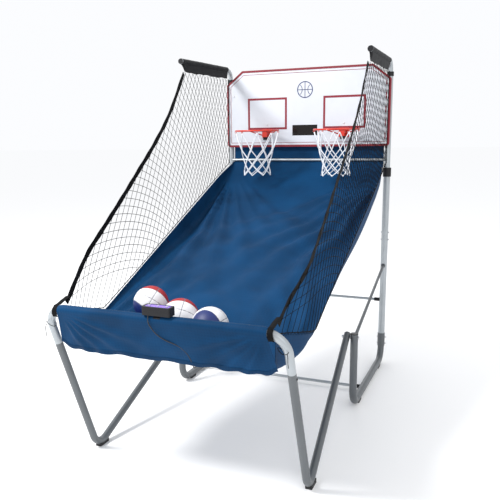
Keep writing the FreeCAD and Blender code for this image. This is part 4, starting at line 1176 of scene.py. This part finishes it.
def line_loop(points, width):
    """Mitred quads for a closed outline."""
    quads = []
    n = len(points)
    inner = []
    for k in range(n):
        p = Vector(points[k])
        a = (p - Vector(points[k - 1])).normalized()
        b = (Vector(points[(k + 1) % n]) - p).normalized()
        normal = Vector((-a.y - b.y, a.x + b.x)).normalized()
        reach = width / max(0.3, normal.dot(Vector((-a.y, a.x))))
        inner.append(tuple(p + normal * reach))
    for k in range(n):
        j = (k + 1) % n
        quads.append([points[k], points[j], inner[j], inner[k]])
    return quads


def ring_part(centre, r0, r1, a0, a1, count):
    """Quads of an annulus sector; angles in degrees."""
    quads = []
    for k in range(count):
        t0 = math.radians(a0 + (a1 - a0) * k / count)
        t1 = math.radians(a0 + (a1 - a0) * (k + 1) / count)
        quads.append([(centre[0] + r * math.cos(t), centre[1] + r * math.sin(t))
                      for r, t in ((r0, t0), (r1, t0), (r1, t1), (r0, t1))])
    return quads


# %% Lines and targets
BOARD_LOW, BOARD_TOP = board_low.z, board_high.z
HALF_LOW, HALF_TOP = board_high.x, 0.465
SHOULDER_Z = BOARD_TOP - 0.095
EDGE_IN = 0.026
outline = [(-HALF_LOW + EDGE_IN, BOARD_LOW + EDGE_IN), (HALF_LOW - EDGE_IN, BOARD_LOW + EDGE_IN),
           (HALF_LOW - EDGE_IN, SHOULDER_Z - 0.010), (HALF_TOP - 0.010, BOARD_TOP - EDGE_IN),
           (-HALF_TOP + 0.010, BOARD_TOP - EDGE_IN), (-HALF_LOW + EDGE_IN, SHOULDER_Z - 0.010)]
red_shapes = line_loop(outline, 0.0032)
TARGET_HALF, TARGET_LOW, TARGET_TOP = 0.1465, 1.644, 1.862
for side in (1, -1):
    x = side * 0.2768
    frame_line = [(x - TARGET_HALF, TARGET_LOW), (x + TARGET_HALF, TARGET_LOW),
                  (x + TARGET_HALF, TARGET_TOP), (x - TARGET_HALF, TARGET_TOP)]
    red_shapes += line_loop(frame_line, 0.0145)
flat_mesh("board_lines", red_shapes, PRINT_RED)

# %% Plain ball
BALL_Z = 1.908          # height of the printed ball's middle
SIDE_SEAM_X = 0.062     # middle of each curved seam's circle
blue_shapes = ring_part((0.0, BALL_Z), 0.050, 0.056, 0, 360, 40)
blue_shapes += ring_part((-SIDE_SEAM_X, BALL_Z), 0.040, 0.044, -48, 48, 12)
blue_shapes += ring_part((SIDE_SEAM_X, BALL_Z), 0.040, 0.044, 132, 228, 12)
blue_shapes += [[(-0.0022, 1.856), (0.0022, 1.856), (0.0022, 1.960), (-0.0022, 1.960)],
                [(-0.052, 1.9058), (0.052, 1.9058), (0.052, 1.9102), (-0.052, 1.9102)]]
flat_mesh("board_print_blue", blue_shapes, PRINT_BLUE, 0.0001)
print("print on the board:", len(red_shapes) + len(blue_shapes), "shapes")

# %% [markdown]
# ## Straps and lacing
# A thin cord ties each net's front corner to the leg, a zigzag cord laces the net to the
# ramp, and a webbing strap holds the band's end down on the front bar.

# %% Corner ties
TIE_LOOP_R = 0.0222
TIE_STEPS = 24
tie_lines = []
for side in (1, -1):
    centre = Vector((side * 0.566, BAR_Y + 0.010, BAR_Z - 0.075))
    loop = []
    for k in range(TIE_STEPS + 1):
        t = 2 * math.pi * k / TIE_STEPS
        loop.append(centre + Vector((math.cos(t) * TIE_LOOP_R, math.sin(t) * TIE_LOOP_R,
                                     0.004 * math.sin(t * 2 + side) - 0.008 * math.cos(t))))
    tie_lines.append(loop)
    tie_lines.append([Vector((side * (NET_X - 0.048), NET_FRONT + 0.004, edge_z(NET_FRONT))),
                      Vector((side * (NET_X - 0.020), BAR_Y + 0.036, BAR_Z - 0.040)),
                      centre + Vector((side * 0.006, 0.0230, 0.010))])
    tie_lines.append([centre + Vector((side * 0.020, -0.012, -0.004)),
                      centre + Vector((side * 0.0245, -0.017, -0.022)),
                      centre + Vector((side * 0.0235, -0.013, -0.046)),
                      centre + Vector((side * 0.0250, -0.010, -0.066))])
ties = cords("corner_ties", tie_lines, 0.0016, NET_THREAD, 6)
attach(ties, "front_frame")

# %% Lacing round the ramp's edges
LACE_TURNS = 150
LACE_R = 0.0010


def lacing(side):
    """A zigzag cord that ties the ramp's hem to the net."""
    line = []
    for k in range(LACE_TURNS + 1):
        y = NET_FRONT + 0.02 + (TOP_Y - NET_FRONT - 0.06) * k / LACE_TURNS
        z = edge_z(y)
        half = half_width(y)
        if k % 2:
            line.append(Vector((side * (half - 0.0022), y, z - 0.013)))
        else:
            line.append(Vector((side * (NET_X + 0.0012 - pull_in(y)), y, z + 0.008)))
    return line


for side, word in ((1, "right"), (-1, "left")):
    low_part, high_part = split_at_cut([lacing(side)])
    low_lacing = cords("lacing_front_" + word, low_part, LACE_R, NET_THREAD, 4)
    high_lacing = cords("lacing_back_" + word, high_part, LACE_R, NET_THREAD, 4)
    blend_low(low_lacing)
    blend_high(high_lacing)

# %% Corner straps
def corner_strap(side, word):
    """A wide webbing loop that holds the band's end down on the front bar."""
    path = [Vector((0.523, NET_FRONT + 0.030, 0.893)),
            Vector((0.520, BAR_Y + 0.045, 0.884)),
            Vector((0.519, BAR_Y + 0.015, BAR_Z + 0.0215)),
            Vector((0.519, BAR_Y - 0.004, BAR_Z + 0.0195)),
            Vector((0.520, BAR_Y - 0.0205, BAR_Z + 0.004)),
            Vector((0.522, BAR_Y - 0.0215, BAR_Z - 0.016)),
            Vector((0.524, BAR_Y - 0.010, BAR_Z - 0.034))]

    def place(u, v):
        at = path[round(v)]
        return Vector((side * (at.x + 0.0125 * u), at.y, at.z - 0.002 * abs(u)))

    piece = cloth("corner_strap_" + word, place, steps(-1, 1, 6),
                  [float(k) for k in range(len(path))], (0.025, 0.15), WEBBING, 0.0016)
    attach(piece, "front_frame")


corner_strap(1, "right")
corner_strap(-1, "left")

# %% [markdown]
# ## Finishes of the CAD nodes
# Each carried-over node keeps its mesh and gets its finish through its material slots.

# %% Dress the CAD nodes
LOOKS = {
    STEEL_DARK: ["base_loop_right", "base_loop_left", "rear_sleeves", "upright_spigots",
                 "braces", "front_leg_right", "front_leg_left"],
    STEEL_LIGHT: ["uprights_lower", "uprights_upper", "crossbars", "front_bar",
                  "inner_posts", "net_arms", "upper_crossbar", "board_brackets"],
    PLASTIC: ["post_caps", "height_collars", "crossbar_sockets", "leg_caps", "joint_buttons",
              "arm_collars", "arm_tip_caps", "controller_base", "controller_lid",
              "score_case", "battery_box", "speaker", "ball_sensors", "controller_strap",
              "lead_plug"],
    RUBBER: ["base_feet", "front_feet"],
    ZINC: ["hinge_bolts", "frame_bolts", "board_screws", "snap_button_right",
           "snap_button_left"],
    RED_MOULDING: ["board_trim"],
    ORANGE_PAINT: ["rims", "rim_brackets"],
    BOARD_SHEET: ["backboard"],
    SMOKED: ["score_window"],
    CIRCUIT: ["score_circuit", "controller_circuit"],
    # The controller panel takes the painted glow.
    PAINTED_LIGHT_PANEL: ["controller_panel"],
    BUTTON: ["controller_button_1", "controller_button_2", "controller_button_3"],
}
dressed = set()
for look, names in LOOKS.items():
    for name in names:
        holder = nodes[name]
        if not holder.material_slots:
            holder.data.materials.append(look)
        for slot in holder.material_slots:
            slot.link = "OBJECT"
            slot.material = look
        dressed.add(name)
print("dressed:", len(dressed), "left:", sorted(set(nodes) - dressed))

# %% [markdown]
# ## Light and floor
# A pale floor, a strong light high on the left, a weaker fill from the right and another
# high up behind. All of them are discs over a metre wide, so shadows stay soft.

# %% Studio
floor_mesh = bpy.data.meshes.new("studio_floor")
FLOOR_HALF = 60.0
floor_corners = [(x * FLOOR_HALF, y * FLOOR_HALF, 0)
                 for x, y in ((-1, -1), (1, -1), (1, 1), (-1, 1))]
floor_mesh.from_pydata(floor_corners, [], [(0, 1, 2, 3)])
FLOOR_PAINT, _, floor_shader = new_material("studio_white", (0.88, 0.88, 0.88), 0.95,
                                            shine=0.0)
floor_shader.inputs["Emission Color"].default_value = (1, 1, 1, 1)
floor_shader.inputs["Emission Strength"].default_value = 0.10
floor_plane = add_object("studio_floor", floor_mesh, FLOOR_PAINT)


def lamp(name, at, target, size, power, colour=(1, 1, 1)):
    data = bpy.data.lights.new(name, "AREA")
    data.shape = "DISK"
    data.size = size
    data.energy = power
    data.color = colour
    holder = bpy.data.objects.new(name, data)
    bpy.context.scene.collection.objects.link(holder)
    holder.location = at
    holder.rotation_euler = (Vector(target) - Vector(at)).to_track_quat("-Z", "Y").to_euler()


lamp("key", (-2.8, -3.0, 4.8), (0, 0, 0.9), 1.4, 330)
lamp("fill", (4.2, -2.6, 2.6), (0, 0, 1.0), 3.0, 25, (0.97, 0.985, 1.0))
lamp("rear", (-0.6, 4.2, 3.6), (0, 0, 1.2), 3.0, 40)
world = bpy.data.worlds.new("studio")
bpy.context.scene.world = world
world.use_nodes = True
world.node_tree.nodes["Background"].inputs["Color"].default_value = (0.97, 0.98, 1.0, 1)
world.node_tree.nodes["Background"].inputs["Strength"].default_value = 1.0
print("lights set")
